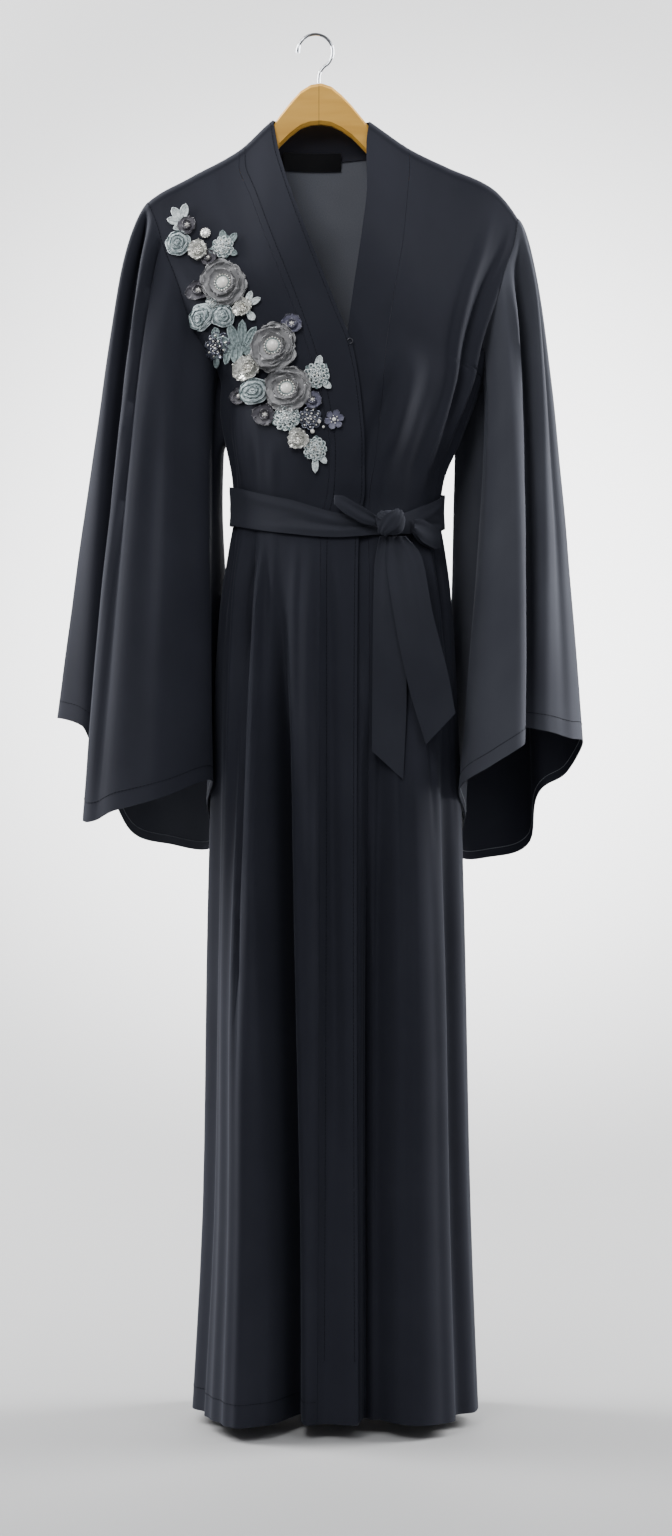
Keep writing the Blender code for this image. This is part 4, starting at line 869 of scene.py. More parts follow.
def tail_grid(table, off, rows=TAIL_ROWS, cells=TAIL_CELLS):
    """Grid of a belt tail that hangs clear of the skirt's front."""
    stations = []
    for k in range(4):
        stations.append(tuple((float(i), row[k]) for i, row in enumerate(table)))
    grid = []
    for i in range(rows + 1):
        at = (len(table) - 1) * i / rows
        right_x, right_z, left_x, left_z = [flowing(s, at) for s in stations]
        reach = [skirt_ahead(mix(TAILS_X[0], TAILS_X[1], k / 6.0), right_z) for k in range(7)]
        row = []
        for j in range(cells + 1):
            t = j / cells
            row.append(Vector((mix(right_x, left_x, t), min(reach) - off, mix(right_z, left_z, t))))
        grid.append(row)
    for i in range(1, len(grid)):
        for j, point in enumerate(grid[i]):
            point.y = min(point.y, grid[i - 1][j].y + TAIL_LEAN_BACK)
    return grid


def label_grid(cells=8):
    """The points of the label's sheet."""
    grid = []
    for i in range(2):
        row = []
        for j in range(cells + 1):
            x = mix(LABEL_X[0], LABEL_X[1], j / cells)
            z = LABEL_Z[i]
            back = body_point(180.0 - turn_at(x, z), z)
            row.append(Vector((x, back.y - LABEL_OFF[i], z)))
        grid.append(row)
    return grid


def wall_piece(name, grid, thick, closed=False, before=None, after=None, finish=None, inside=None):
    """A cloth wall with a UV map in metres along the cloth, as one plain mesh."""
    rows = len(grid)
    columns = len(grid[0])
    spans = columns if closed else columns - 1

    def at(i, j):
        if closed:
            return grid[min(max(i, 0), rows - 1)][j % columns]
        if j < 0 and before:
            return before[i]
        if j >= columns and after:
            return after[i]
        edge = grid[min(max(i, 0), rows - 1)][min(max(j, 0), columns - 1)]
        if 0 <= i < rows and 0 <= j < columns:
            return edge
        if abs(edge.y) > SEAM_GAP:
            return edge
        inner = grid[min(max(i, 1), rows - 2)][min(max(j, 0), columns - 1)]
        if j < 0 or j >= columns:
            inner = grid[i][1 if j < 0 else -2]
        return Vector((inner.x, -inner.y, inner.z))

    across = [0.0]
    widest = max(range(rows), key=lambda i: sum(
        (grid[i][(j + 1) % columns] - grid[i][j]).length for j in range(spans)))
    for j in range(spans):
        across.append(across[-1] + (grid[widest][(j + 1) % columns] - grid[widest][j]).length)
    down = [0.0]
    middle = columns // 2
    for i in range(rows - 1):
        down.append(down[-1] + (grid[i + 1][middle] - grid[i][middle]).length)

    mesh = bmesh.new()
    uv = mesh.loops.layers.uv.new("cloth")
    sides = ([], [])
    for i in range(rows):
        for k in (0, 1):
            sides[k].append([])
        for j in range(columns):
            along = at(i, j + 1) - at(i, j - 1)
            fall = at(i + 1, j) - at(i - 1, j)
            normal = along.cross(fall).normalized()
            sides[0][i].append(mesh.verts.new(grid[i][j] + normal * thick / 2.0))
            sides[1][i].append(mesh.verts.new(grid[i][j] - normal * thick / 2.0))

    def face(corners, places, layer):
        made = mesh.faces.new(corners)
        made.material_index = layer
        for loop, (i, j) in zip(made.loops, places):
            loop[uv].uv = (across[j], -down[i])

    for k in (0, 1):
        for i in range(rows - 1):
            for j in range(spans):
                n = (j + 1) % columns
                quad = (sides[k][i][j], sides[k][i][n], sides[k][i + 1][n], sides[k][i + 1][j])
                face(quad, ((i, j), (i, j + 1), (i + 1, j + 1), (i + 1, j)), k if inside else 0)
    for i in (0, rows - 1):
        for j in range(spans):
            n = (j + 1) % columns
            quad = (sides[0][i][j], sides[0][i][n], sides[1][i][n], sides[1][i][j])
            face(quad, ((i, j), (i, j + 1), (i, j + 1), (i, j)), 0)
    if not closed:
        for j in (0, columns - 1):
            for i in range(rows - 1):
                quad = (sides[0][i][j], sides[0][i + 1][j], sides[1][i + 1][j], sides[1][i][j])
                face(quad, ((i, j), (i + 1, j), (i + 1, j), (i, j)), 0)
    bmesh.ops.recalc_face_normals(mesh, faces=mesh.faces)
    for edge in mesh.edges:
        edge.smooth = edge.calc_face_angle(0.0) < SHARP_TURN
    return to_piece(name, mesh, [finish] + ([inside] if inside else []))


def to_piece(name, mesh, finishes):
    """Close off a bmesh as one smooth-shaded piece with its finishes."""
    data = bpy.data.meshes.new(name)
    mesh.to_mesh(data)
    mesh.free()
    data.shade_smooth()
    for finish in finishes:
        data.materials.append(finish)
    body = bpy.data.objects.new(name, data)
    bpy.context.scene.collection.objects.link(body)
    return body


def join_pieces(name, bodies):
    """Several bodies as one piece, each keeping its own finishes."""
    mesh = bmesh.new()
    finishes = []
    for body in bodies:
        start = len(mesh.faces)
        mesh.from_mesh(body.data)
        mesh.faces.ensure_lookup_table()
        places = []
        for finish in body.data.materials:
            if finish not in finishes:
                finishes.append(finish)
            places.append(finishes.index(finish))
        for face in mesh.faces[start:]:
            face.material_index = places[face.material_index] if places else 0
        old = body.data
        bpy.data.objects.remove(body, do_unlink=True)
        bpy.data.meshes.remove(old)
    return to_piece(name, mesh, finishes)


# Finishes

def new_finish(name):
    """A finish with an empty node tree, and its shader."""
    material = bpy.data.materials.new(name)
    material.use_nodes = True
    nodes = material.node_tree.nodes
    return material, nodes, material.node_tree.links, nodes["Principled BSDF"]


def ramp(nodes, stops):
    """A colour ramp with its stops as (place, colour)."""
    made = nodes.new("ShaderNodeValToRGB")
    while len(made.color_ramp.elements) < len(stops):
        made.color_ramp.elements.new(0.5)
    for element, (place, colour) in zip(made.color_ramp.elements, stops):
        element.position = place
        element.color = (*colour, 1.0)
    return made


def speckle(nodes, links, source, scale, detail=2.0):
    """Noise at one size of grain."""
    made = nodes.new("ShaderNodeTexNoise")
    made.inputs["Scale"].default_value = scale
    made.inputs["Detail"].default_value = detail
    links.new(source, made.inputs["Vector"])
    return made


def bump(nodes, links, height, strength, distance, below=None):
    """Raises and sinks a finish by a height."""
    made = nodes.new("ShaderNodeBump")
    made.inputs["Strength"].default_value = strength
    made.inputs["Distance"].default_value = distance
    links.new(height, made.inputs["Height"])
    if below:
        links.new(below.outputs["Normal"], made.inputs["Normal"])
    return made


def between(nodes, links, low, high, factor):
    """A value that runs from low to high with the factor."""
    made = nodes.new("ShaderNodeMapRange")
    made.inputs["To Min"].default_value = low
    made.inputs["To Max"].default_value = high
    links.new(factor, made.inputs["Value"])
    return made.outputs["Result"]


def crepe(name, dark, light, sheen, grain=1.0, rough=(0.78, 0.90)):
    """Matt crepe: a fine pebbly weave, faint shade changes and a soft bloom on the folds."""
    material, nodes, links, shader = new_finish(name)
    along = nodes.new("ShaderNodeUVMap")
    along.uv_map = "cloth"
    source = along.outputs["UV"]
    cloud = speckle(nodes, links, source, 9.0, 3.0)
    tint = ramp(nodes, ((0.30, dark), (0.72, light)))
    links.new(cloud.outputs["Fac"], tint.inputs["Fac"])
    pebble = speckle(nodes, links, source, 1500.0 * grain, 2.0)
    shade = nodes.new("ShaderNodeMix")
    shade.data_type = "RGBA"
    shade.blend_type = "MULTIPLY"
    shade.inputs["Factor"].default_value = 1.0
    links.new(tint.outputs["Color"], shade.inputs[6])
    flecks = ramp(nodes, ((0.25, (0.78, 0.78, 0.80)), (0.75, (1.12, 1.12, 1.14))))
    links.new(pebble.outputs["Fac"], flecks.inputs["Fac"])
    links.new(flecks.outputs["Color"], shade.inputs[7])
    links.new(shade.outputs[2], shader.inputs["Base Color"])
    links.new(between(nodes, links, rough[0], rough[1], pebble.outputs["Fac"]), shader.inputs["Roughness"])
    twill = nodes.new("ShaderNodeTexWave")
    twill.inputs["Scale"].default_value = 420.0 * grain
    twill.inputs["Distortion"].default_value = 1.5
    links.new(source, twill.inputs["Vector"])
    first = bump(nodes, links, twill.outputs["Fac"], 0.10, 0.0003)
    second = bump(nodes, links, pebble.outputs["Fac"], 0.16, 0.0004, first)
    links.new(second.outputs["Normal"], shader.inputs["Normal"])
    shader.inputs["Sheen Weight"].default_value = sheen
    shader.inputs["Sheen Roughness"].default_value = 0.45
    shader.inputs["Sheen Tint"].default_value = (0.60, 0.66, 0.85, 1.0)
    shader.inputs["Specular IOR Level"].default_value = 0.20
    return material


def thread_finish(name, dark, light, rough, metal=0.0, scale=900.0, depth=0.0003, coat=0.0,
                  alpha=1.0, shine=0.5):
    """Thread, lace, beads and foil: a mottled colour with a fine relief."""
    material, nodes, links, shader = new_finish(name)
    place = nodes.new("ShaderNodeTexCoord").outputs["Object"]
    mottle = speckle(nodes, links, place, scale * 0.22, 2.0)
    tint = ramp(nodes, ((0.34, dark), (0.66, light)))
    links.new(mottle.outputs["Fac"], tint.inputs["Fac"])
    links.new(tint.outputs["Color"], shader.inputs["Base Color"])
    relief = speckle(nodes, links, place, scale, 2.0)
    links.new(between(nodes, links, rough * 0.8, min(1.0, rough * 1.25), relief.outputs["Fac"]),
              shader.inputs["Roughness"])
    made = bump(nodes, links, relief.outputs["Fac"], 0.45, depth)
    links.new(made.outputs["Normal"], shader.inputs["Normal"])
    shader.inputs["Metallic"].default_value = metal
    shader.inputs["Coat Weight"].default_value = coat
    shader.inputs["Coat Roughness"].default_value = 0.08
    shader.inputs["Alpha"].default_value = alpha
    shader.inputs["Specular IOR Level"].default_value = shine
    return material


def organza_finish(name, dark, light, alpha):
    """Sheer organza: crossing threads with light between them."""
    material, nodes, links, shader = new_finish(name)
    place = nodes.new("ShaderNodeTexCoord").outputs["Object"]
    cloud = speckle(nodes, links, place, 120.0, 2.0)
    tint = ramp(nodes, ((0.3, dark), (0.7, light)))
    links.new(cloud.outputs["Fac"], tint.inputs["Fac"])
    links.new(tint.outputs["Color"], shader.inputs["Base Color"])
    mesh = nodes.new("ShaderNodeTexWave")
    mesh.inputs["Scale"].default_value = 700.0
    mesh.inputs["Distortion"].default_value = 0.6
    links.new(place, mesh.inputs["Vector"])
    made = bump(nodes, links, mesh.outputs["Fac"], 0.2, 0.0002)
    links.new(made.outputs["Normal"], shader.inputs["Normal"])
    links.new(between(nodes, links, alpha - 0.10, min(1.0, alpha + 0.08), mesh.outputs["Fac"]),
              shader.inputs["Alpha"])
    shader.inputs["Roughness"].default_value = 0.42
    shader.inputs["Sheen Weight"].default_value = 0.35
    shader.inputs["Sheen Roughness"].default_value = 0.3
    return material


def wood_finish(name):
    """Honey-coloured lacquered wood: long grain along the arms and a dark glued joint."""
    material, nodes, links, shader = new_finish(name)
    place = nodes.new("ShaderNodeTexCoord").outputs["Object"]
    stretch = nodes.new("ShaderNodeMapping")
    stretch.inputs["Scale"].default_value = (9.0, 110.0, 90.0)
    links.new(place, stretch.inputs["Vector"])
    grain = speckle(nodes, links, stretch.outputs["Vector"], 1.0, 5.0)
    grain.inputs["Distortion"].default_value = 0.6
    tint = ramp(nodes, ((0.25, (0.54, 0.275, 0.038)), (0.52, (0.62, 0.33, 0.050)),
                        (0.78, (0.68, 0.375, 0.064))))
    links.new(grain.outputs["Fac"], tint.inputs["Fac"])
    split = nodes.new("ShaderNodeSeparateXYZ")
    links.new(place, split.inputs["Vector"])
    away = nodes.new("ShaderNodeMath")
    away.operation = "ABSOLUTE"
    links.new(split.outputs["X"], away.inputs[0])
    joint = nodes.new("ShaderNodeMapRange")
    joint.inputs["From Min"].default_value = 0.0001
    joint.inputs["From Max"].default_value = 0.0006
    joint.inputs["To Min"].default_value = 0.45
    joint.inputs["To Max"].default_value = 1.0
    links.new(away.outputs["Value"], joint.inputs["Value"])
    shade = nodes.new("ShaderNodeMix")
    shade.data_type = "RGBA"
    shade.blend_type = "MULTIPLY"
    shade.inputs["Factor"].default_value = 1.0
    links.new(tint.outputs["Color"], shade.inputs[6])
    links.new(joint.outputs["Result"], shade.inputs[7])
    links.new(shade.outputs[2], shader.inputs["Base Color"])
    made = bump(nodes, links, grain.outputs["Fac"], 0.12, 0.0006)
    links.new(made.outputs["Normal"], shader.inputs["Normal"])
    links.new(between(nodes, links, 0.30, 0.44, grain.outputs["Fac"]), shader.inputs["Roughness"])
    shader.inputs["Coat Weight"].default_value = 0.12
    shader.inputs["Coat Roughness"].default_value = 0.22
    shader.inputs["Specular IOR Level"].default_value = 0.30
    return material


def metal_finish(name, dark, light, rough):
    """Polished metal with faint wear in its shine."""
    material, nodes, links, shader = new_finish(name)
    place = nodes.new("ShaderNodeTexCoord").outputs["Object"]
    wear = speckle(nodes, links, place, 220.0, 4.0)
    tint = ramp(nodes, ((0.3, dark), (0.7, light)))
    links.new(wear.outputs["Fac"], tint.inputs["Fac"])
    links.new(tint.outputs["Color"], shader.inputs["Base Color"])
    varied = between(nodes, links, rough * 0.6, rough * 1.6, wear.outputs["Fac"])
    links.new(varied, shader.inputs["Roughness"])
    shader.inputs["Metallic"].default_value = 1.0
    return material


def paper_with_painted_light(name, bright, dim, rough):
    """Plain paper with painted light: palest in the middle behind the cloak and a little dimmer towards its
    ends, as a painted pool of light.
    """
    material, nodes, links, shader = new_finish(name)
    place = nodes.new("ShaderNodeTexCoord").outputs["Object"]
    away = nodes.new("ShaderNodeVectorMath")
    away.operation = "DISTANCE"
    away.inputs[1].default_value = PAINTED_LIGHT_POOL_CENTRE
    links.new(place, away.inputs[0])
    share = nodes.new("ShaderNodeMapRange")
    share.interpolation_type = "SMOOTHSTEP"
    share.inputs["From Min"].default_value = PAINTED_LIGHT_POOL_REACH
    share.inputs["From Max"].default_value = PAINTED_LIGHT_FADE_REACH
    links.new(away.outputs["Value"], share.inputs["Value"])
    tint = ramp(nodes, ((0.0, bright), (1.0, dim)))
    links.new(share.outputs["Result"], tint.inputs["Fac"])
    links.new(tint.outputs["Color"], shader.inputs["Base Color"])
    shader.inputs["Roughness"].default_value = rough
    shader.inputs["Specular IOR Level"].default_value = 0.2
    return material


CREPE = crepe("navy_crepe", (0.0105, 0.0116, 0.0180), (0.0142, 0.0155, 0.0230), 0.045)
# Inner face of the back: the crepe's own inside is only a little lighter; this colour is far lighter,
# painted light on the inside seen in the neck opening
CREPE_INSIDE_PAINTED_LIGHT = crepe("navy_crepe_inside_painted_light", (0.100, 0.106, 0.124), (0.130, 0.137, 0.158), 0.14, 0.8)
# Inner face of the sleeves: several times lighter than the outer crepe, painted light inside the sleeves
CREPE_SLEEVE_INSIDE_PAINTED_LIGHT = crepe(
    "navy_crepe_sleeve_inside_painted_light", (0.036, 0.038, 0.048), (0.046, 0.049, 0.060), 0.08, 0.9)
# The belt's crepe: the same cloth as the garment, coloured lighter as painted light on the belt, its knot
# and its tails
BELT_CREPE_PAINTED_LIGHTER = crepe("belt_crepe", (0.0155, 0.0168, 0.0235), (0.0200, 0.0216, 0.0295), 0.06, 1.1)
SATIN = crepe("label_satin", (0.004, 0.004, 0.005), (0.007, 0.007, 0.008), 0.05, 1.6, (0.30, 0.42))
# Navy stitching thread, coloured darker than the cloth as painted shade along the seams
THREAD_PAINTED_SEAM_SHADE = thread_finish("navy_thread_painted_shade", (0.0035, 0.0040, 0.0060), (0.0065, 0.0072, 0.0105), 0.9, shine=0.08)
PALE_THREAD = thread_finish("pale_thread", (0.10, 0.11, 0.13), (0.16, 0.17, 0.19), 0.7)
ROSE = thread_finish("rose_cord", (0.34, 0.41, 0.43), (0.66, 0.73, 0.75), 0.75, scale=1600.0, depth=0.0005)
LACE = thread_finish("pale_lace", (0.42, 0.48, 0.49), (0.78, 0.83, 0.83), 0.72, scale=1800.0, depth=0.0005)
# Blue-grey leaf lace; the same dark finish also serves as painted shade under the rose cords and the lace
# loops
LEAF_LACE_AND_PAINTED_SHADE = thread_finish("leaf_lace_and_painted_shade", (0.12, 0.16, 0.165), (0.30, 0.37, 0.375), 0.75, scale=1800.0, depth=0.0005)
ORGANZA = organza_finish("grey_organza", (0.235, 0.235, 0.245), (0.37, 0.37, 0.378), 0.86)
DARK_ORGANZA = organza_finish("dark_organza", (0.055, 0.052, 0.066), (0.13, 0.125, 0.145), 0.88)
PURPLE = organza_finish("purple_organza", (0.075, 0.075, 0.125), (0.17, 0.17, 0.235), 0.90)
SEQUIN = thread_finish(
    "dark_sequin", (0.035, 0.040, 0.060), (0.16, 0.17, 0.22), 0.22, 0.55, 500.0, 0.0002, 0.5)
SILVER = thread_finish("silver_foil", (0.55, 0.55, 0.52), (0.90, 0.90, 0.86), 0.28, 0.55, 420.0, 0.0004, 0.3)
PEARL = thread_finish("pearl", (0.74, 0.72, 0.67), (0.86, 0.85, 0.81), 0.28, 0.0, 300.0, 0.0001, 0.7)
STONE = thread_finish("clear_stone", (0.62, 0.60, 0.54), (0.93, 0.92, 0.88), 0.08, 0.45, 300.0, 0.0001, 1.0)
WOOD = wood_finish("honey_wood")
CHROME = metal_finish("chrome", (0.26, 0.27, 0.285), (0.42, 0.43, 0.45), 0.14)
DARK_METAL = metal_finish("dark_metal", (0.03, 0.03, 0.035), (0.08, 0.08, 0.09), 0.30)
# The sweep's paper, with a pool of light painted into its colour
PAPER_PAINTED_LIGHT = paper_with_painted_light("floor", (0.90, 0.90, 0.905), (0.345, 0.345, 0.348), 0.75)


# Rows of stitches and rings of petals and beads

def tree_with(name, inputs):
    """An empty node group with a geometry input, named inputs and a geometry output."""
    tree = bpy.data.node_groups.new(name, "GeometryNodeTree")
    tree.interface.new_socket("Geometry", in_out="INPUT", socket_type="NodeSocketGeometry")
    for label, kind, value in inputs:
        socket = tree.interface.new_socket(label, in_out="INPUT", socket_type=kind)
        if value is not None:
            socket.default_value = value
    tree.interface.new_socket("Geometry", in_out="OUTPUT", socket_type="NodeSocketGeometry")
    return tree, tree.nodes.new("NodeGroupInput"), tree.nodes.new("NodeGroupOutput")


def stitch_tree():
    """Stitches of one length along a line: each is a short round thread lying along it."""
    tree, given, result = tree_with("stitches_along_line", (
        ("Pitch", "NodeSocketFloat", 0.004), ("Length", "NodeSocketFloat", 0.0028),
        ("Thickness", "NodeSocketFloat", 0.0005), ("Finish", "NodeSocketMaterial", None),
    ))
    nodes = tree.nodes
    links = tree.links
    curve = nodes.new("GeometryNodeMeshToCurve")
    spaced = nodes.new("GeometryNodeResampleCurve")
    spaced.mode = "LENGTH"
    tangent = nodes.new("GeometryNodeInputTangent")
    turned = nodes.new("FunctionNodeAlignRotationToVector")
    turned.axis = "Z"
    thread = nodes.new("GeometryNodeMeshCylinder")
    thread.inputs["Vertices"].default_value = 6
    half = nodes.new("ShaderNodeMath")
    half.operation = "MULTIPLY"
    half.inputs[1].default_value = 0.5
    placed = nodes.new("GeometryNodeInstanceOnPoints")
    real = nodes.new("GeometryNodeRealizeInstances")
    finish = nodes.new("GeometryNodeSetMaterial")
    links.new(given.outputs["Geometry"], curve.inputs["Mesh"])
    links.new(curve.outputs["Curve"], spaced.inputs["Curve"])
    links.new(given.outputs["Pitch"], spaced.inputs["Length"])
    links.new(tangent.outputs["Tangent"], turned.inputs["Vector"])
    links.new(given.outputs["Thickness"], half.inputs[0])
    links.new(half.outputs["Value"], thread.inputs["Radius"])
    links.new(given.outputs["Length"], thread.inputs["Depth"])
    links.new(spaced.outputs["Curve"], placed.inputs["Points"])
    links.new(thread.outputs["Mesh"], placed.inputs["Instance"])
    links.new(turned.outputs["Rotation"], placed.inputs["Rotation"])
    links.new(placed.outputs["Instances"], real.inputs["Geometry"])
    links.new(real.outputs["Geometry"], finish.inputs["Geometry"])
    links.new(given.outputs["Finish"], finish.inputs["Material"])
    links.new(finish.outputs["Geometry"], result.inputs["Geometry"])
    return tree


def ring_tree():
    """The given petal or bead set round a ring, each tilted up and a little uneven."""
    tree, given, result = tree_with("set_round_a_ring", (
        ("Count", "NodeSocketInt", 6), ("Radius", "NodeSocketFloat", 0.0),
        ("Start", "NodeSocketFloat", 0.0), ("Tilt", "NodeSocketFloat", 0.0),
        ("Uneven", "NodeSocketFloat", 0.1), ("Lift", "NodeSocketFloat", 0.0),
        ("Seed", "NodeSocketInt", 1), ("Finish", "NodeSocketMaterial", None),
    ))
    nodes = tree.nodes
    links = tree.links

    def maths(operation, a, b=None):
        made = nodes.new("ShaderNodeMath")
        made.operation = operation
        for k, value in enumerate((a, b)):
            if isinstance(value, (int, float)):
                made.inputs[k].default_value = value
            elif value is not None:
                links.new(value, made.inputs[k])
        return made.outputs["Value"]

    points = nodes.new("GeometryNodePoints")
    index = nodes.new("GeometryNodeInputIndex")
    share = maths("DIVIDE", index.outputs["Index"], given.outputs["Count"])
    wobble = nodes.new("FunctionNodeRandomValue")
    wobble.data_type = "FLOAT"
    links.new(given.outputs["Seed"], wobble.inputs["Seed"])
    spread = maths("MULTIPLY", given.outputs["Uneven"], 0.6)
    links.new(maths("MULTIPLY", spread, -1.0), wobble.inputs[2])
    links.new(spread, wobble.inputs[3])
    turn = maths("ADD", maths("MULTIPLY", share, 2.0 * math.pi), given.outputs["Start"])
    turn = maths("ADD", turn, wobble.outputs[1])
    place = nodes.new("ShaderNodeCombineXYZ")
    links.new(maths("MULTIPLY", maths("SINE", turn), given.outputs["Radius"]), place.inputs["X"])
    links.new(maths("MULTIPLY", maths("COSINE", turn), given.outputs["Radius"]), place.inputs["Y"])
    links.new(given.outputs["Lift"], place.inputs["Z"])
    rotate = nodes.new("ShaderNodeCombineXYZ")
    links.new(given.outputs["Tilt"], rotate.inputs["X"])
    links.new(maths("MULTIPLY", turn, -1.0), rotate.inputs["Z"])
    size = nodes.new("FunctionNodeRandomValue")
    size.data_type = "FLOAT"
    links.new(maths("SUBTRACT", 1.0, given.outputs["Uneven"]), size.inputs[2])
    links.new(maths("ADD", 1.0, given.outputs["Uneven"]), size.inputs[3])
    links.new(maths("ADD", given.outputs["Seed"], 7.0), size.inputs["Seed"])
    placed = nodes.new("GeometryNodeInstanceOnPoints")
    real = nodes.new("GeometryNodeRealizeInstances")
    finish = nodes.new("GeometryNodeSetMaterial")
    links.new(given.outputs["Count"], points.inputs["Count"])
    links.new(place.outputs["Vector"], points.inputs["Position"])
    links.new(points.outputs["Points"], placed.inputs["Points"])
    links.new(given.outputs["Geometry"], placed.inputs["Instance"])
    links.new(rotate.outputs["Vector"], placed.inputs["Rotation"])
    links.new(size.outputs[1], placed.inputs["Scale"])
    links.new(placed.outputs["Instances"], real.inputs["Geometry"])
    links.new(real.outputs["Geometry"], finish.inputs["Geometry"])
    links.new(given.outputs["Finish"], finish.inputs["Material"])
    links.new(finish.outputs["Geometry"], result.inputs["Geometry"])
    return tree


STITCHES = stitch_tree()
RING = ring_tree()


def grown(name, base, tree, values):
    """Run a tree on a base mesh with the values given, and keep the result as a plain mesh."""
    source = bpy.data.objects.new(name + "_base", base)
    bpy.context.scene.collection.objects.link(source)
    modifier = source.modifiers.new("grow", "NODES")
    modifier.node_group = tree
    for item in tree.interface.items_tree:
        if item.in_out == "INPUT" and item.name in values:
            modifier[item.identifier] = values[item.name]
    bpy.context.view_layer.update()
    graph = bpy.context.evaluated_depsgraph_get()
    data = bpy.data.meshes.new_from_object(source.evaluated_get(graph))
    bpy.data.objects.remove(source, do_unlink=True)
    data.name = name
    data.shade_smooth()
    body = bpy.data.objects.new(name, data)
    bpy.context.scene.collection.objects.link(body)
    return body


def stitch_line(name, points, pitch=STITCH_PITCH, length=STITCH_LENGTH, thickness=STITCH_THICK,
                finish=None):
    """Stitches of thread along a line of points."""
    base = bpy.data.meshes.new(name)
    base.from_pydata([tuple(p) for p in points], [(k, k + 1) for k in range(len(points) - 1)], [])
    # Stitches default to the dark thread, which paints shade along the seams
    values = {"Pitch": pitch, "Length": length, "Thickness": thickness, "Finish": finish or THREAD_PAINTED_SEAM_SHADE}
    return grown(name, base, STITCHES, values)


# Petals, beads and cords, each lying flat at the origin with its tip along +Y

def small_mesh(name, mesh):
    """The finished mesh of one small shape."""
    data = bpy.data.meshes.new(name)
    mesh.to_mesh(data)
    mesh.free()
    return data


def petal_mesh(length, width, cup, ruffle=0.0, point=0.0, thick=0.0004, cells=(6, 6), vein=0.0):
    """A petal: round at its tip or pointed, cupped across, with a wavy edge."""
    across, along = cells
    mesh = bmesh.new()
    tops = []
    for i in range(along + 1):
        t = i / along
        if point < 0.0:
            belly = (t - 0.58) / 0.42 if t > 0.58 else (0.58 - t) / 0.72
            fullness = max(0.0, 1.0 - belly ** (2.6 if t > 0.58 else 1.8)) ** 0.55
        else:
            fullness = math.sin(math.pi * (0.10 + 0.90 * t) ** (0.80 + point)) ** 0.62
        half = width / 2.0 * max(fullness, 0.02)
        row = []
        for j in range(across + 1):
            s = 2.0 * j / across - 1.0
            x = s * half
            y = length * t * (1.0 - 0.10 * s * s * t)
            z = cup * length * (0.55 * t * t + 0.35 * s * s * t)
            z += ruffle * length * t * math.sin(5.0 * s + 2.2 * t)
            z -= vein * length * math.exp(-(s / 0.16) ** 2) * math.sin(math.pi * t)
            row.append(Vector((x, y, z)))
        tops.append(row)
    sides = []
    for k in (0.5, -0.5):
        sides.append([[mesh.verts.new(p + Vector((0.0, 0.0, k * thick))) for p in row] for row in tops])
    for k, flip in ((0, False), (1, True)):
        for i in range(along):
            for j in range(across):
                quad = [sides[k][i][j], sides[k][i][j + 1], sides[k][i + 1][j + 1], sides[k][i + 1][j]]
                mesh.faces.new(quad[::-1] if flip else quad)
    rim = [(0, j) for j in range(across)] + [(i, across) for i in range(along)]
    rim += [(along, j) for j in range(across, 0, -1)] + [(i, 0) for i in range(along, 0, -1)]
    for (a, b), (c, d) in zip(rim, rim[1:] + rim[:1]):
        mesh.faces.new((sides[0][c][d], sides[0][a][b], sides[1][a][b], sides[1][c][d]))
    return small_mesh("petal", mesh)


def bead_mesh(radius, rough=1, flat=1.0):
    """A round bead."""
    mesh = bmesh.new()
    bmesh.ops.create_icosphere(mesh, subdivisions=rough, radius=radius)
    for vert in mesh.verts:
        vert.co.z *= flat
    return small_mesh("bead", mesh)


def disc_mesh(radius, thick, lean=0.0):
    """A sequin: a thin cupped disc."""
    mesh = bmesh.new()
    count = 9
    rings = []
    for z, r in ((0.0, 0.25), (thick * 0.2, 0.65), (thick, 1.0), (thick * 0.6, 1.0)):
        rings.append([mesh.verts.new((
            radius * r * math.sin(2.0 * math.pi * k / count),
            radius * r * math.cos(2.0 * math.pi * k / count), z + lean * radius * r,
        )) for k in range(count)])
    foot = mesh.verts.new((0.0, 0.0, -thick * 0.3))
    for a, b in zip(rings, rings[1:]):
        for k in range(count):
            n = (k + 1) % count
            mesh.faces.new((a[k], b[k], b[n], a[n]))
    for k in range(count):
        n = (k + 1) % count
        mesh.faces.new((rings[0][n], rings[0][k], foot)[::-1])
        mesh.faces.new((rings[-1][k], rings[-1][n], foot))
    bmesh.ops.recalc_face_normals(mesh, faces=mesh.faces)
    return small_mesh("sequin", mesh)


def tube_mesh(points, radius, sides=6, closed=False):
    """A round cord through the points, with its ends drawn to a close."""
    mesh = bmesh.new()
    count = len(points)
    rings = []
    for k, point in enumerate(points):
        if closed:
            along = points[(k + 1) % count] - points[k - 1]
        else:
            along = points[min(k + 1, count - 1)] - points[max(k - 1, 0)]
        along.normalize()
        beside = along.cross(Vector((0.0, 0.0, 1.0)))
        if beside.length < 0.1:
            beside = along.cross(Vector((1.0, 0.0, 0.0)))
        beside.normalize()
        above = beside.cross(along)
        ring = []
        for m in range(sides):
            turn = 2.0 * math.pi * m / sides
            ring.append(mesh.verts.new(point + (beside * math.cos(turn) + above * math.sin(turn)) * radius))
        rings.append(ring)
    pairs = list(zip(rings, rings[1:]))
    if closed:
        pairs.append((rings[-1], rings[0]))
    for a, b in pairs:
        for m in range(sides):
            n = (m + 1) % sides
            mesh.faces.new((a[m], a[n], b[n], b[m]))
    if not closed:
        mesh.faces.new(rings[0][::-1])
        mesh.faces.new(rings[-1])
    bmesh.ops.recalc_face_normals(mesh, faces=mesh.faces)
    return small_mesh("cord", mesh)


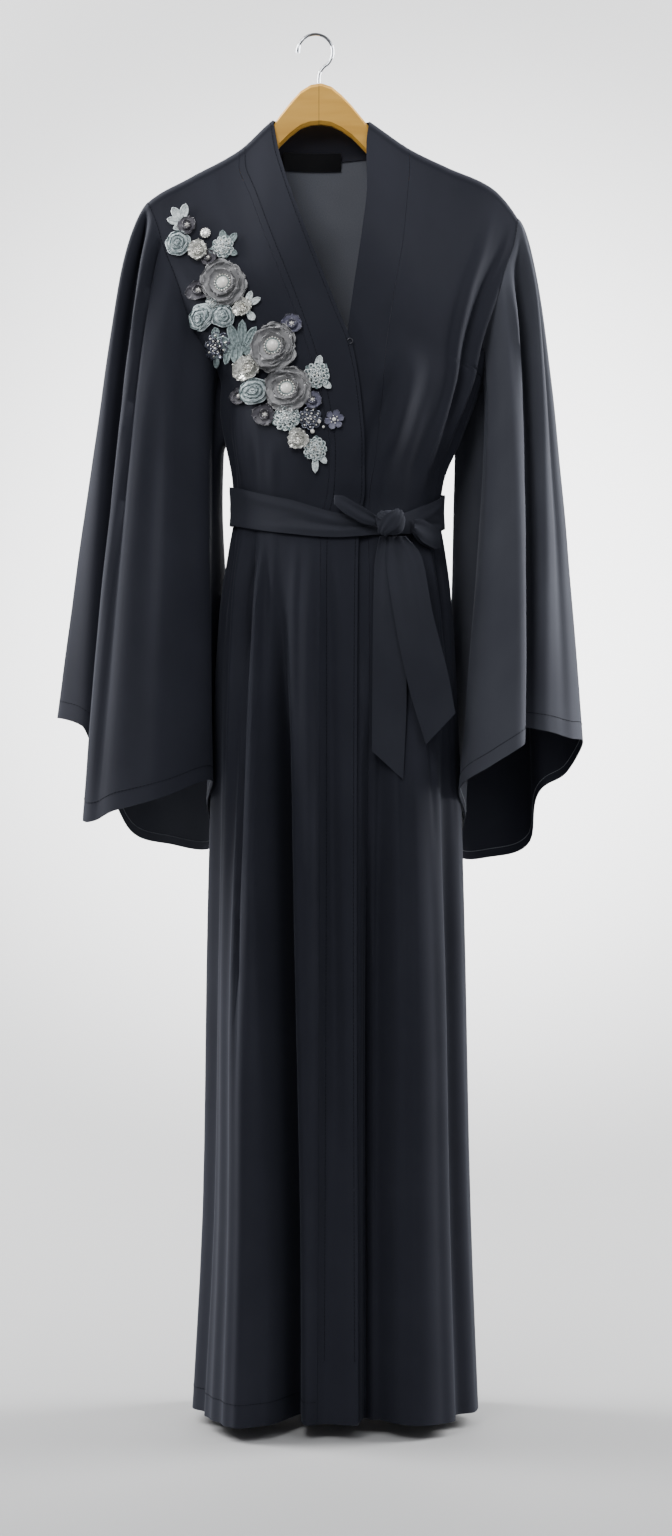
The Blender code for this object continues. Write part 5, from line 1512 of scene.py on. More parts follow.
def single(name, data, finish, turn=0.0, place=(0.0, 0.0, 0.0), scale=1.0):
    """One mesh as a body, turned in its own plane and moved into place in its mesh."""
    move = Matrix.Translation(place) @ Matrix.Rotation(turn, 4, "Z") @ Matrix.Scale(scale, 4)
    data.transform(move)
    data.shade_smooth()
    data.materials.clear()
    data.materials.append(finish)
    body = bpy.data.objects.new(name, data)
    bpy.context.scene.collection.objects.link(body)
    return body


def ring(data, count, radius, tilt, finish, start=0.0, uneven=0.08, lift=0.0, seed=1):
    """The same shape many times round a ring, each turned a little its own way."""
    values = {
        "Count": count, "Radius": radius, "Start": start, "Tilt": tilt, "Uneven": uneven,
        "Lift": lift, "Seed": seed, "Finish": finish,
    }
    return grown("ring", data, RING, values)


# Kinds of flower, each made flat at the origin, looking along +Z

def organza_blossom(radius, seed):
    """Three layers of sheer round petals round a pearl disc with a ring of stones."""
    wide = petal_mesh(radius, radius * 1.30, 0.22, 0.045, -1.0, cells=(10, 9))
    middle = petal_mesh(radius * 0.82, radius * 1.10, 0.42, 0.055, -1.0, cells=(10, 8))
    tall = petal_mesh(radius * 0.58, radius * 0.84, 0.60, 0.06, -1.0, cells=(8, 7))
    parts = [
        ring(wide, 6, 0.0, 0.0, ORGANZA, 0.3 * seed, 0.10, 0.0008, seed),
        ring(middle, 5, 0.0, 0.10, ORGANZA, 0.3 * seed + 0.5, 0.10, 0.0014, seed + 3),
        ring(tall, 5, 0.0, 0.20, ORGANZA, 0.3 * seed + 1.1, 0.10, 0.0020, seed + 6),
    ]
    disc = radius * 0.34
    lift = 0.0052
    parts.append(single("cup", bead_mesh(disc * 1.06, 3, 0.40), LEAF_LACE_AND_PAINTED_SHADE, place=(0.0, 0.0, lift - 0.0012)))
    parts.append(single("pearl", bead_mesh(disc * 0.70, 3, 0.62), PEARL, place=(0.0, 0.0, lift + 0.0010)))
    parts.append(ring(bead_mesh(disc * 0.145, 1), 18, disc * 0.92, 0.0, STONE, 0.0, 0.02,
                      lift + 0.0012, seed))
    return parts


def cord_rose(radius, seed):
    """A rose rolled from cord: dark petals, coloured as painted shade between the cords, with bright cords
    laid round them and a coil.
    """
    parts = []
    for layer, (count, share, tilt, lift) in enumerate((
        (6, 1.00, 0.10, 0.0006), (5, 0.78, 0.42, 0.0014), (4, 0.56, 0.75, 0.0024),
    )):
        reach = radius * share
        petal = petal_mesh(reach, reach * 1.25, 0.34, 0.0, -1.0, 0.0010, (6, 5))
        # The petals take the dark leaf finish as painted shade in the gaps under the bright cords
        parts.append(ring(petal, count, 0.0, tilt, LEAF_LACE_AND_PAINTED_SHADE, 0.6 * layer + seed, 0.05, lift, seed + layer))
    coil = []
    for k in range(96):
        turn = 0.36 * k
        reach = radius * 0.62 * (1.0 - k / 96.0) + radius * 0.04
        wave = 1.0 + 0.06 * math.sin(5.0 * turn + seed)
        height = 0.0052 + 0.000022 * k
        coil.append(Vector((reach * wave * math.cos(turn), reach * wave * math.sin(turn), height)))
    parts.append(single("coil", tube_mesh(coil, radius * 0.052, 5), ROSE))
    for share, lift in ((0.98, 0.0024), (0.88, 0.0032), (0.78, 0.0042), (0.69, 0.0050)):
        rim = []
        for k in range(44):
            turn = 2.0 * math.pi * k / 44
            reach = radius * share * (1.0 + 0.035 * math.cos(7.0 * turn + 9.0 * share + seed))
            rim.append(Vector((reach * math.cos(turn), reach * math.sin(turn),
                               lift + 0.0005 * math.sin(7.0 * turn + seed + 5.0 * share))))
        parts.append(single("rim", tube_mesh(rim, radius * 0.050, 5, True), ROSE))
    return parts


def corded_petal(length, width, cup=0.12, point=0.2, cord=0.05):
    """A lace petal: its filling, an outline cord and a midrib cord."""
    fill = petal_mesh(length, width, cup, 0.0, point, 0.0006, (6, 6))
    outline = []
    for k in range(15):
        t = k / 14.0
        side = -1.0 if t < 0.5 else 1.0
        y = 1.0 - abs(2.0 * t - 1.0)
        fullness = math.sin(math.pi * (0.10 + 0.90 * y) ** (0.80 + point)) ** 0.62
        x = side * width / 2.0 * max(fullness, 0.02) * 0.94
        outline.append(Vector((x, length * y * 0.97, cup * length * 0.8 * y * y + 0.0004)))
    rib = []
    for k in range(5):
        rib.append(Vector((0.0, length * 0.9 * k / 4.0, cup * length * 0.5 * (k / 4.0) ** 2 + 0.0005)))
    mesh = bmesh.new()
    mesh.from_mesh(fill)
    mesh.from_mesh(tube_mesh(outline, length * cord, 4))
    mesh.from_mesh(tube_mesh(rib, length * cord * 0.8, 4))
    return small_mesh("corded_petal", mesh)


def lace_cluster(radius, seed, finish=None):
    """A dense tuft of small knotted lace loops and beads over dark petals, coloured as painted shade under
    the loops.
    """
    finish = finish or LACE
    parts = []
    sizes = random.Random(seed)
    for layer, (count, share, lift) in enumerate((
        (11, 0.84, 0.0016), (9, 0.60, 0.0032), (6, 0.36, 0.0044), (3, 0.14, 0.0050),
    )):
        loop = []
        reach = radius * 0.17
        for k in range(8):
            turn = 2.0 * math.pi * k / 8
            loop.append(Vector((reach * math.sin(turn), reach * math.cos(turn), 0.0006 * math.cos(turn))))
        data = tube_mesh(loop, radius * 0.052, 4, True)
        parts.append(ring(data, count, radius * share, 0.25, finish, sizes.random() * 3.0, 0.12,
                          lift, seed + layer))
        parts.append(ring(bead_mesh(radius * 0.085, 1), count, radius * share, 0.0,
                          STONE if layer % 2 else finish, sizes.random() * 3.0, 0.10,
                          lift + 0.0006, seed + layer + 5))
    # Dark petals under the loops: painted shade
    parts.append(ring(corded_petal(radius * 0.80, radius * 0.62), 8, radius * 0.28, 0.0, LEAF_LACE_AND_PAINTED_SHADE,
                      seed * 0.7, 0.12, 0.0005, seed + 9))
    return parts


def small_blossom(radius, seed, finish, bead, count=5):
    """A small five-petalled flower with a bead in its middle."""
    petal = petal_mesh(radius, radius * 1.08, 0.32, 0.05, -1.0, cells=(7, 6), vein=0.05)
    inner = petal_mesh(radius * 0.6, radius * 0.66, 0.5, 0.05, -1.0, cells=(6, 5), vein=0.05)
    return [
        ring(petal, count, 0.0, 0.10, finish, 0.4 * seed, 0.10, 0.0007, seed),
        ring(inner, count, 0.0, 0.45, finish, 0.4 * seed + 0.6, 0.10, 0.0014, seed + 1),
        ring(bead_mesh(radius * 0.085, 1), 6, radius * 0.22, 0.0, bead, 0.0, 0.05, 0.0026, seed),
        single("eye", bead_mesh(radius * 0.17, 2), bead, place=(0.0, 0.0, 0.0034)),
    ]


def foil_blossom(radius, seed, finish=None, stone=None):
    """A flower of bright crumpled petals with stones set in its middle."""
    finish = finish or SILVER
    stone = stone or STONE
    petal = petal_mesh(radius, radius * 1.02, 0.42, 0.09, -1.0, cells=(7, 6), vein=0.09)
    inner = petal_mesh(radius * 0.66, radius * 0.74, 0.65, 0.10, -1.0, cells=(6, 5), vein=0.07)
    return [
        ring(petal, 6, 0.0, 0.10, finish, 0.7 * seed, 0.12, 0.0008, seed),
        ring(inner, 5, 0.0, 0.40, finish, 0.7 * seed + 0.5, 0.12, 0.0016, seed + 1),
        ring(bead_mesh(radius * 0.13, 1), 6, radius * 0.28, 0.0, stone, 0.0, 0.08, 0.0034, seed),
        single("eye", bead_mesh(radius * 0.19, 2), stone, place=(0.0, 0.0, 0.0040)),
    ]


def sequin_blossom(radius, seed, finish, bead):
    """A flower of overlapping cupped sequins with beads between them."""
    parts = []
    for layer, (count, share, size, lift) in enumerate((
        (9, 0.74, 0.30, 0.0006), (6, 0.40, 0.30, 0.0018), (3, 0.14, 0.24, 0.0030),
    )):
        disc = disc_mesh(radius * size, radius * 0.08)
        parts.append(ring(disc, count, radius * share, 0.30, finish, seed + layer, 0.10, lift, seed + layer))
        parts.append(ring(bead_mesh(radius * 0.09, 1), count, radius * share, 0.0, bead, seed + layer,
                          0.04, lift + radius * 0.10, seed + layer))
    return parts


def foil_button(radius):
    """A round bright button with a beaded rim."""
    return [
        single("button", bead_mesh(radius * 0.86, 3, 0.55), SILVER, place=(0.0, 0.0, 0.0016)),
        ring(bead_mesh(radius * 0.17, 1), 14, radius * 0.86, 0.0, STONE, 0.0, 0.03, 0.0018, 3),
        ring(bead_mesh(radius * 0.14, 1), 7, radius * 0.45, 0.0, STONE, 0.3, 0.03, 0.0038, 4),
    ]


def round_blossom(radius, seed, finish, bead):
    """A flat flower of six round petals set apart, with a bead in its middle."""
    petal = petal_mesh(radius * 0.68, radius * 0.62, 0.30, 0.03, -1.0, cells=(7, 6), vein=0.05)
    return [
        ring(petal, 6, radius * 0.30, 0.05, finish, 0.3, 0.06, 0.0008, seed),
        single("middle", bead_mesh(radius * 0.30, 2, 0.4), finish, place=(0.0, 0.0, 0.0010)),
        single("eye", bead_mesh(radius * 0.19, 2), bead, place=(0.0, 0.0, 0.0022)),
        ring(bead_mesh(radius * 0.075, 1), 6, radius * 0.34, 0.0, bead, 0.8, 0.03, 0.0022, seed),
    ]


def leaf_spray(leaves, finish):
    """Corded leaves, each given as base x, y, turn in degrees, length and width."""
    parts = []
    for x, y, turn, length, width in leaves:
        leaf = corded_petal(length, width, 0.14, 0.35, 0.045)
        parts.append(single("leaf", leaf, finish, -math.radians(turn), (x, y, 0.0008)))
    return parts


def bead_clump(places, finish):
    """Round beads given as x, y, radius."""
    return [single("bead", bead_mesh(r, 2), finish, place=(x, y, r)) for x, y, r in places]


def lay_on_front(name, parts, x, z, off):
    """Join a flower's parts and lay them on the right front's cloth round (x, z)."""
    body = join_pieces(name, parts)
    base = CLOTH / 2.0 + off
    for vert in body.data.vertices:
        lift = base + max(vert.co.z, -base * 0.5)
        vert.co = front_point(x + vert.co.x * FLOWER_FULLER, z + vert.co.y * FLOWER_FULLER, lift)
    body.data.update()
    return body


# Camera, floor and light

def aim(body, target):
    """Turns an object to look at a point."""
    body.rotation_euler = (Vector(target) - body.location).to_track_quat("-Z", "Y").to_euler()


def camera():
    """The camera that stands as the photo's does."""
    lens = bpy.data.cameras.new("camera")
    lens.sensor_width = 36.0
    lens.lens = CAMERA_LENS
    body = bpy.data.objects.new("camera", lens)
    body.location = CAMERA_PLACE
    aim(body, (CAMERA_PLACE[0], 0.0, CAMERA_PLACE[2]))
    bpy.context.scene.collection.objects.link(body)
    bpy.context.scene.camera = body


def studio():
    """A wide pale floor that sweeps up into a narrower pale backdrop."""
    profile = [(FLOOR_FRONT, FLOOR_LEVEL)]
    for k in range(SWEEP_STEPS + 1):
        turn = math.pi / 2.0 * k / SWEEP_STEPS
        back = BACKDROP_Y - SWEEP + SWEEP * math.sin(turn)
        profile.append((back, FLOOR_LEVEL + SWEEP - SWEEP * math.cos(turn)))
    profile.append((BACKDROP_Y, BACKDROP_TOP))
    mesh = bmesh.new()
    rows = []
    for y, z in profile:
        half = mix(FLOOR_HALF, BACKDROP_HALF, smooth((z - FLOOR_LEVEL) / NARROW_RISE))
        rows.append([mesh.verts.new((x, y, z)) for x in (-half, half)])
    for a, b in zip(rows, rows[1:]):
        mesh.faces.new((a[0], a[1], b[1], b[0]))
    body = to_piece("studio_sweep", mesh, [PAPER_PAINTED_LIGHT])


def softbox(name, place, target, size, power, tint):
    """One flat area light."""
    light = bpy.data.lights.new(name, "AREA")
    light.shape = "RECTANGLE"
    light.size = size[0]
    light.size_y = size[1]
    light.energy = power
    light.color = tint
    body = bpy.data.objects.new(name, light)
    body.location = place
    aim(body, target)
    bpy.context.scene.collection.objects.link(body)


def lights():
    """The studio's lights and the light of the air."""
    world = bpy.data.worlds.new("studio_air")
    bpy.context.scene.world = world
    world.use_nodes = True
    air = world.node_tree.nodes["Background"]
    air.inputs["Color"].default_value = (0.93, 0.95, 1.0, 1.0)
    air.inputs["Strength"].default_value = AIR_STRENGTH
    for row in SOFTBOXES:
        softbox(*row)


# Cloth

def fine_sleeve(table, loop, side, folds, draw):
    """A sleeve at full fineness, with its long folds laid in."""
    grid = sleeve_grid(table, loop, side, [k / SLEEVE_FINE_STEPS for k in range(SLEEVE_FINE_STEPS + 1)])
    columns = len(grid[0])
    moved = []
    for i, row in enumerate(grid):
        t = i / SLEEVE_FINE_STEPS
        line = []
        for j, point in enumerate(row):
            above = grid[max(i - 1, 0)][j]
            below = grid[min(i + 1, SLEEVE_FINE_STEPS)][j]
            normal = (row[(j + 1) % columns] - row[j - 1]).cross(below - above).normalized() * side
            share = loop[j][1]
            away = abs((share - SLEEVE_DRAW_SHARE + 0.5) % 1.0 - 0.5) / SLEEVE_DRAW_REACH
            drawn = -side * flowing(draw, t) * smooth(1.0 - away)
            line.append(point - normal * sleeve_fold(folds, share, t, point) + Vector((drawn, 0.0, 0.0)))
        moved.append(line)
    return moved


def sleeve_fold(folds, share, t, point):
    """How far a sleeve's folds move its cloth outwards at a share round it and t down it."""
    total = 0.0
    for _, share_top, share_foot, start, full, reach, height in folds:
        if t <= start:
            continue
        rise = smooth((t - start) / (full - start)) * (1.0 - SLEEVE_FOLD_SPENT * t ** 3)
        away = abs((share - mix(share_top, share_foot, t) + 0.5) % 1.0 - 0.5) / reach
        if away < 1.0:
            total += height * rise * (0.5 + 0.5 * math.cos(math.pi * away))
    near_body = smooth(min(share, 1.0 - share) / 0.10)
    return total * near_body + 0.0005 * noise.noise(point * 14.0) * smooth(t * 8.0)


def belt_crease(turn, across):
    """How far the belt's creases lift it at a place."""
    total = 0.0
    for _, start, end, across_start, across_end, reach, height in BELT_CREASES:
        if not start < turn < end:
            continue
        share = (turn - start) / (end - start)
        away = abs(across - mix(across_start, across_end, share)) / reach
        if away < 1.0:
            total += height * math.sin(math.pi * share) ** 0.6 * (0.5 + 0.5 * math.cos(math.pi * away))
    return total


def fine_belt():
    """The points of the belt's fine cloth, all the way round."""
    grid = []
    for i in range(BELT_FINE_ACROSS + 1):
        across = 1.0 - 2.0 * i / BELT_FINE_ACROSS
        row = []
        for j in range(BELT_FINE_CELLS):
            turn = -180.0 + 360.0 * j / BELT_FINE_CELLS
            roll = -0.0007 * across ** 6
            row.append(belt_point(turn, across, belt_crease(turn, across) + roll))
        grid.append(row)
    return grid


def fine_tail(table, off, twist):
    """A belt tail with creases that leave the knot and die out, and a soft roll down it."""
    grid = tail_grid(table, off, TAIL_FINE_ROWS, TAIL_FINE_CELLS)
    for i, row in enumerate(grid):
        t = i / TAIL_FINE_ROWS
        for j, point in enumerate(row):
            s = j / TAIL_FINE_CELLS
            pleat = 0.0016 * math.exp(-t * 5.0) * math.cos(2.0 * math.pi * 2.5 * s + twist)
            roll = (0.0014 * math.sin(math.pi * s) * smooth(t * 3.0)
                    + 0.0008 * math.sin(7.0 * t + twist + 2.0 * s))
            point.y -= pleat + roll - 0.0006
    return grid


def fine_loop(table):
    """A bow loop with creases that run in to the knot."""
    around = LOOP_FINE_AROUND
    grid = loop_grid(table, around, LOOP_FINE_ACROSS)
    for i, row in enumerate(grid):
        t = i / (2.0 * around)
        near_knot = abs(2.0 * t - 1.0)
        for j, point in enumerate(row):
            s = j / LOOP_FINE_ACROSS
            side = -1.0 if t > 0.5 else 0.4
            point.y += side * 0.0011 * near_knot * math.cos(2.0 * math.pi * 1.5 * s)
            point.y += side * 0.0012 * math.sin(math.pi * s) * (1.0 - near_knot)
    return grid


def knot_surface(side_turn, height_turn, swell=1.0):
    """A point of the knot's lump, turned sideways and up from its front."""
    middle = knot_middle()
    raw = (
        math.sin(side_turn) * math.cos(height_turn),
        -math.cos(side_turn) * math.cos(height_turn),
        math.sin(height_turn),
    )
    soft = [math.copysign(abs(c) ** KNOT_SQUARE, c) for c in raw]
    return middle + Vector((
        soft[0] * KNOT_WIDE / 2.0 * swell,
        soft[1] * KNOT_DEEP / 2.0 * swell,
        soft[2] * KNOT_TALL / 2.0 * swell,
    ))


def knot_piece():
    """The knot: a creased core with one turn of the belt drawn slantwise over it."""
    mesh = bmesh.new()
    around, up = 56, 32
    rows = []
    for i in range(1, up):
        height_turn = math.pi * (i / up - 0.5)
        row = []
        for j in range(around):
            side_turn = 2.0 * math.pi * j / around
            crease = 1.0 - 0.045 * (0.5 + 0.5 * math.sin(5.0 * height_turn + 2.2 * side_turn)) - 0.06
            row.append(mesh.verts.new(knot_surface(side_turn, height_turn, crease)))
        rows.append(row)
    for a, b in zip(rows, rows[1:]):
        for j in range(around):
            n = (j + 1) % around
            mesh.faces.new((a[j], a[n], b[n], b[j]))
    mesh.faces.new(rows[0][::-1])
    mesh.faces.new(rows[-1])
    core = to_piece("knot_core", mesh, [BELT_CREPE_PAINTED_LIGHTER])
    parts = [core]
    for tilt, wide, start, end, swell, lift in KNOT_TURNS:
        grid = []
        for i in range(13):
            v = (i / 12.0 - 0.5) * wide
            row = []
            for j in range(33):
                turn = math.radians(mix(start, end, j / 32.0))
                slant = math.radians(tilt)
                narrow = 1.0 - 0.35 * abs(2.0 * j / 32.0 - 1.0) ** 2
                across = v * narrow / (KNOT_WIDE / 2.0)
                side_turn = math.sin(turn) * math.sin(slant) * 1.35 + across * math.cos(slant)
                height_turn = math.sin(turn) * math.cos(slant) * 1.25 - across * math.sin(slant)
                fold = 0.03 * math.cos(5.0 * math.pi * i / 12.0 + 1.4 * math.sin(turn)) + lift
                row.append(knot_surface(side_turn, height_turn, swell + fold))
            grid.append(row)
        parts.append(wall_piece("turn", grid, BELT_FINE_THICK, finish=BELT_CREPE_PAINTED_LIGHTER))
    return join_pieces("knot_of_belt", parts)


# Placing

def put(piece, nodes):
    """Hangs a piece on the body, with the solids that it stands for."""
    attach(piece, "root")
    if nodes:
        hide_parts(*nodes)
    return piece


def outside_line(grid, cells, off, columns=None):
    """A line over the cloth's outer face: one (row, column) place after another."""
    width = len(grid[0])
    points = []
    for i, j in cells:
        here = grid[i][j]
        after = (j + 1) % width if columns else min(j + 1, width - 1)
        before = j - 1 if columns or j else 0
        along = grid[i][after] - grid[i][before]
        fall = grid[min(i + 1, len(grid) - 1)][j] - grid[max(i - 1, 0)][j]
        points.append(here + along.cross(fall).normalized() * off)
    return points


def cloth_pieces():
    """The fronts, the back, the bands and the sleeves, and their points."""
    front_right = front_grid(FRONT_RIGHT, FRONT_RIGHT_CELLS * FINE_ACROSS, False)
    front_left = front_grid(FRONT_LEFT, FRONT_LEFT_CELLS * FINE_ACROSS, True)
    back = back_grid(FINE_BACK)
    band_right = band_grid(FRONT_RIGHT, False, BAND_CELLS * FINE_ACROSS)
    band_left = band_grid(FRONT_LEFT, True, BAND_CELLS * FINE_ACROSS)
    band_neck = neck_band_grid(back, BAND_CELLS * FINE_ACROSS)
    armhole_right = armhole_loop(front_right, back, -1)
    armhole_left = armhole_loop(front_left, back, 1)
    sleeve_right = fine_sleeve(SLEEVE_RIGHT, armhole_right, -1, SLEEVE_FOLDS_RIGHT, SLEEVE_DRAW_RIGHT)
    sleeve_left = fine_sleeve(SLEEVE_LEFT, armhole_left, 1, SLEEVE_FOLDS_LEFT, SLEEVE_DRAW_LEFT)
    for grid, rows, columns in (
        (front_right, (0,), (0, -1)), (front_left, (0,), (0, -1)), (back, (0,), (0, -1)),
        (band_right, (0,), (-1,)), (band_left, (0,), (-1,)),
    ):
        pull_edge(grid, row_edges=rows, column_edges=columns)
    for point in band_neck[-1]:
        point += Vector(NECK_TUCK)
    pull_edge(band_neck, column_edges=(0, -1))

    walls = (
        ("front_right_cloth", "front_right", front_right, [row[-2] for row in band_right], None),
        ("front_left_cloth", "front_left", front_left, [row[-2] for row in band_left], None),
        ("back_cloth", "back", back, None, None),
        ("band_right_cloth", "band_right", band_right, None, [row[1] for row in front_right]),
        ("band_left_cloth", "band_left", band_left, None, [row[1] for row in front_left]),
        ("band_neck_cloth", "band_neck", band_neck, None, None),
    )
    for name, node, grid, before, after in walls:
        # The back's inner face takes the far lighter crepe, as painted light
        inside = CREPE_INSIDE_PAINTED_LIGHT if node == "back" else None
        piece = wall_piece(name, grid, FINE_CLOTH, False, before, after, CREPE, inside)
        put(piece, [node])
    for name, node, grid in (
        ("sleeve_right_cloth", "sleeve_right", sleeve_right),
        ("sleeve_left_cloth", "sleeve_left", sleeve_left),
    ):
        # The sleeves' inner faces take the lighter crepe, as painted light
        piece = wall_piece(name, grid, FINE_CLOTH, True, finish=CREPE, inside=CREPE_SLEEVE_INSIDE_PAINTED_LIGHT)
        put(piece, [node])
    return {
        "front_right": front_right, "front_left": front_left, "back": back,
        "band_right": band_right, "band_left": band_left, "band_neck": band_neck,
        "sleeve_right": sleeve_right, "sleeve_left": sleeve_left,
    }


def belt_pieces():
    """The belt with its knot, loops and tails."""
    belt = wall_piece("belt_cloth", fine_belt(), BELT_FINE_THICK, True, finish=BELT_CREPE_PAINTED_LIGHTER)
    put(belt, ["belt"])
    put(knot_piece(), ["belt_knot"])
    for name, node, table in (
        ("bow_loop_right_cloth", "bow_loop_right", LOOP_RIGHT),
        ("bow_loop_left_cloth", "bow_loop_left", LOOP_LEFT),
    ):
        piece = wall_piece(name, fine_loop(table), FINE_CLOTH, finish=BELT_CREPE_PAINTED_LIGHTER)
        put(piece, [node])
    for name, node, table, off, twist in (
        ("tail_back_cloth", "belt_tail_back", TAIL_BACK, TAIL_BACK_OFF, 0.6),
        ("tail_front_cloth", "belt_tail_front", TAIL_FRONT, TAIL_FRONT_OFF, 2.4),
    ):
        piece = wall_piece(name, fine_tail(table, off, twist), FINE_CLOTH, finish=BELT_CREPE_PAINTED_LIGHTER)
        put(piece, [node])


def label_piece():
    """The plain label inside the neck."""
    piece = wall_piece("label_cloth", label_grid(24), LABEL_THICK, finish=SATIN)
    put(piece, ["label"])


def stitching(grids):
    """Rows of stitches beside the band seams, along the hem and round the cuffs and armholes."""
    off = FINE_CLOTH / 2.0 + STITCH_OFF
    lines = []
    pale = []
    for name in ("band_right", "band_left"):
        grid = grids[name]
        rows = range(1, len(grid) - 1)
        lines.append((name + "_stitches", outside_line(grid, [(i, len(grid[0]) - 3) for i in rows], off)))
        lines.append((name + "_edge_stitches", outside_line(grid, [(i, 1) for i in rows], off)))
    for name in ("front_right", "front_left", "back"):
        above, foot = grids[name][-2:]
        sewn = [a.lerp(b, HEM_STITCH_SHARE) for a, b in zip(above, foot)]
        cells = [(1, j) for j in range(1, len(foot) - 1)]
        lines.append((name + "_hem_stitches", outside_line([above, sewn, foot], cells, off)))
    for name, side in (("sleeve_right", -1), ("sleeve_left", 1)):
        grid = grids[name]
        for label, row in (("cuff", len(grid) - 3), ("armhole", 1)):
            cells = [(row, j) for j in range(len(grid[0]))]
            lines.append((name + "_" + label + "_stitches", outside_line(grid, cells, off * -side, True)))
        cells = [(len(grid) - 2, j) for j in range(len(grid[0]))]
        pale.append((name + "_cuff_overlock", outside_line(grid, cells, off * side, True)))
    for name, points in lines:
        put(stitch_line(name, points), [])
    for name, points in pale:
        overlock = stitch_line(
            name, points, OVERLOCK_PITCH, OVERLOCK_LENGTH, OVERLOCK_THICK, PALE_THREAD)
        put(overlock, [])


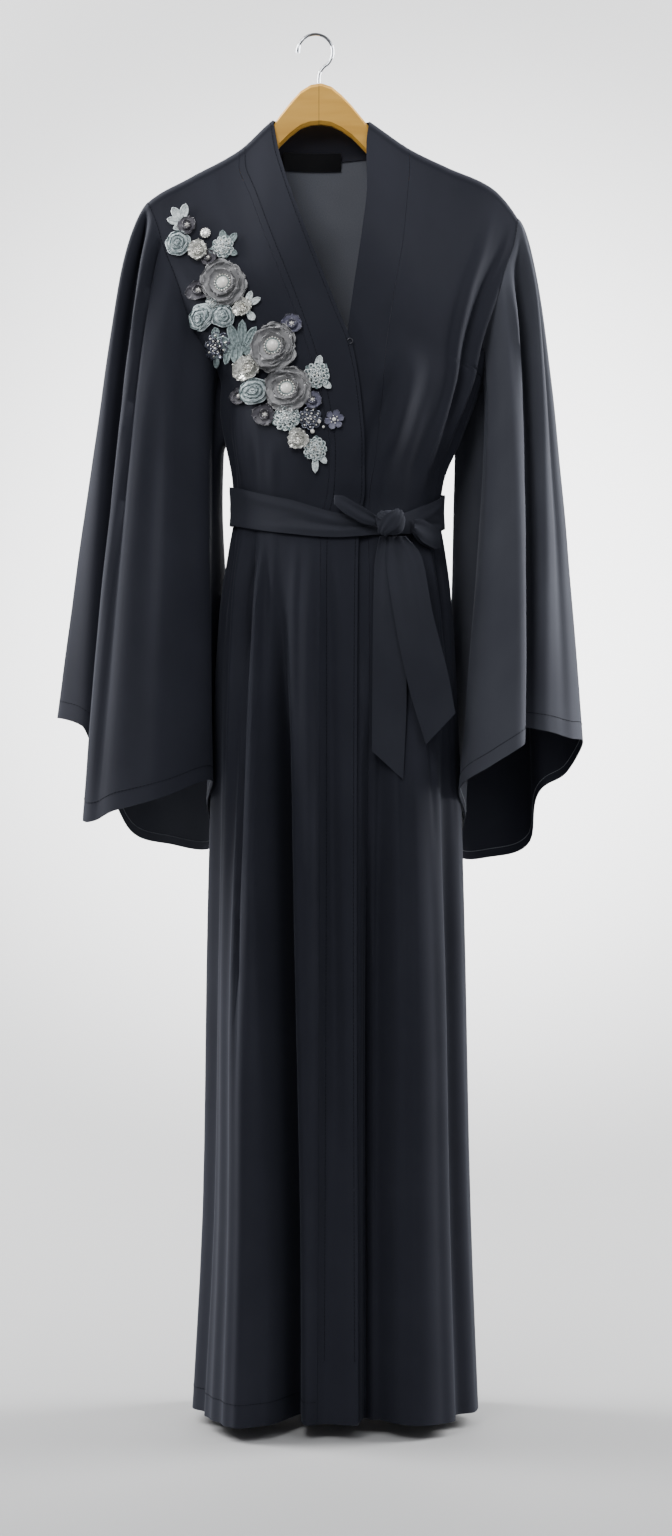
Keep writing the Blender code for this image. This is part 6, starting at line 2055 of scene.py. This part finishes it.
def flowers():
    """Every flower of the applique, from the shoulder down to the waist."""
    for node, slot, off, x, z, parts in (
        ("leaf_sprig", "pale_lace", 0.0004, -0.1507, -0.2087, leaf_spray((
            (0.0, 0.0, 12, 0.0165, 0.0086), (-0.001, -0.001, -36, 0.0165, 0.0086),
            (-0.002, -0.003, -76, 0.0140, 0.0080), (0.001, -0.006, -112, 0.0110, 0.0066),
        ), LACE)),
        ("blossom_dark_top", "dark_sequins", 0.0018, -0.1446, -0.2166,
         small_blossom(0.0108, 2, DARK_ORGANZA, PEARL)),
        ("rose_a", "rose_cord", 0.0014, -0.1543, -0.2367, cord_rose(0.0128, 1)),
        ("bead_silver", "silver_beads", 0.0018, -0.1243, -0.2265, foil_button(0.0056)),
        ("flower_silver_top", "silver_beads", 0.0014, -0.1317, -0.2457, foil_blossom(0.0112, 3)),
        ("lace_blossom_top", "pale_lace", 0.0006, -0.1046, -0.2431,
         lace_cluster(0.0112, 4) + leaf_spray((
             (0.000, 0.006, -4, 0.0120, 0.0074), (0.006, 0.005, 42, 0.0120, 0.0074),
             (0.006, -0.004, 118, 0.0100, 0.0066),
             (-0.006, -0.002, -100, 0.0090, 0.0064)), LEAF_LACE_AND_PAINTED_SHADE)),
        ("organza_upper", "grey_organza", 0.0010, -0.1032, -0.2843, organza_blossom(0.0246, 1)),
        ("blossom_small_side", "dark_sequins", 0.0004, -0.1312, -0.2909,
         small_blossom(0.0114, 5, DARK_ORGANZA, PEARL)),
        ("lace_silver_mid", "pale_lace", 0.0016, -0.0820, -0.3120,
         foil_blossom(0.0104, 6) + leaf_spray((
             (0.004, 0.005, 24, 0.0120, 0.0064), (0.007, 0.003, 62, 0.0125, 0.0060),
             (0.005, -0.005, 140, 0.0110, 0.0072)), LACE)),
        ("rose_b", "rose_cord", 0.0014, -0.1263, -0.3195, cord_rose(0.0124, 2)),
        ("rose_c", "rose_cord", 0.0020, -0.1030, -0.3203, cord_rose(0.0116, 3)),
        ("leaf_cluster", "pale_lace", 0.0004, -0.0853, -0.3454, leaf_spray((
            (0.000, -0.006, 8, 0.0250, 0.0092), (-0.004, -0.008, -18, 0.0240, 0.0090),
            (0.004, -0.008, 34, 0.0230, 0.0086),
            (-0.007, -0.012, -42, 0.0200, 0.0086), (0.002, -0.014, 62, 0.0160, 0.0080),
            (-0.004, -0.004, 172, 0.0200, 0.0096), (0.003, -0.004, 150, 0.0190, 0.0090),
            (-0.008, -0.006, -160, 0.0180, 0.0084)), LEAF_LACE_AND_PAINTED_SHADE)),
        ("sequin_dark_side", "dark_sequins", 0.0010, -0.1097, -0.3505,
         sequin_blossom(0.0128, 7, SEQUIN, STONE) + leaf_spray((
             (0.0, 0.006, -8, 0.0110, 0.0070), (-0.002, -0.009, 170, 0.0110, 0.0062)), LEAF_LACE_AND_PAINTED_SHADE)),
        ("organza_middle", "grey_organza", 0.0012, -0.0486, -0.3551, organza_blossom(0.0256, 2)),
        ("blossom_small_top", "dark_sequins", 0.0006, -0.0290, -0.3315,
         small_blossom(0.0118, 8, PURPLE, PEARL)),
        ("sequin_silver_side", "silver_beads", 0.0018, -0.0753, -0.3765, foil_blossom(0.0138, 9)),
        ("rose_d", "rose_cord", 0.0022, -0.0682, -0.4036, cord_rose(0.0130, 4)),
        ("organza_lower", "grey_organza", 0.0016, -0.0327, -0.4022, organza_blossom(0.0246, 3)),
        ("lace_cluster_edge", "pale_lace", 0.0012, -0.0017, -0.3886,
         lace_cluster(0.0128, 10) + leaf_spray((
             (0.001, 0.008, 12, 0.0125, 0.0072), (0.006, -0.006, 130, 0.0110, 0.0066)), LACE)),
        ("beads_purple", "dark_sequins", 0.0010, -0.0060, -0.4150, small_blossom(0.0100, 11, PURPLE, PEARL)),
        ("blossom_small_edge", "dark_sequins", 0.0010, 0.0172, -0.4368,
         round_blossom(0.0110, 12, PURPLE, PEARL)),
        ("organza_dark_low", "grey_organza", 0.0008, -0.0577, -0.4299,
         small_blossom(0.0122, 13, DARK_ORGANZA, PEARL)),
        ("lace_cluster_low", "pale_lace", 0.0018, -0.0336, -0.4342, lace_cluster(0.0132, 14)),
        ("sequins_purple_low", "dark_sequins", 0.0012, -0.0085, -0.4353,
         sequin_blossom(0.0120, 15, SEQUIN, PEARL)),
        ("petals_silver_low", "silver_beads", 0.0014, -0.0213, -0.4575, foil_blossom(0.0118, 16)),
        ("tip_cluster", "pale_lace", 0.0014, -0.0031, -0.4682,
         lace_cluster(0.0114, 17) + leaf_spray((
             (0.0, -0.008, 180, 0.0160, 0.0056), (0.004, -0.006, 140, 0.0110, 0.0060)), LACE)),
    ):
        put(lay_on_front(node + "_sewn", parts, x, z, off), [node])
    for name, slot, off, x, z, parts in (
        ("petals_behind_rose_sewn", "dark_sequins", 0.0004, -0.0848, -0.4065,
         small_blossom(0.0100, 18, DARK_ORGANZA, PEARL)),
        ("petals_behind_silver_sewn", "dark_sequins", 0.0004, -0.1204, -0.2544,
         small_blossom(0.0088, 19, DARK_ORGANZA, STONE)),
        ("beads_at_edge_sewn", "silver_beads", 0.0008, 0.0012, -0.4391, bead_clump((
            (0.0, 0.0, 0.0019), (-0.0068, -0.0098, 0.0023), (-0.0118, 0.0012, 0.0016),
            (0.0040, -0.0052, 0.0014)), PEARL)),
        ("lace_between_roses_sewn", "pale_lace", 0.0010, -0.1151, -0.3058, lace_cluster(0.0078, 20)),
    ):
        put(lay_on_front(name, parts, x, z, off), [])


def kept_solids():
    """Finishes for the hanger, its hook and the hook and eye."""
    for node, finish in (("hanger_wood", WOOD), ("hanger_hook", CHROME), ("hook_eye", DARK_METAL)):
        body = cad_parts[node]
        for slot in body.material_slots:
            slot.material = finish
        if not body.material_slots:
            body.data.materials.append(finish)


camera()
studio()
lights()
grids = cloth_pieces()
belt_pieces()
label_piece()
stitching(grids)
flowers()
kept_solids()
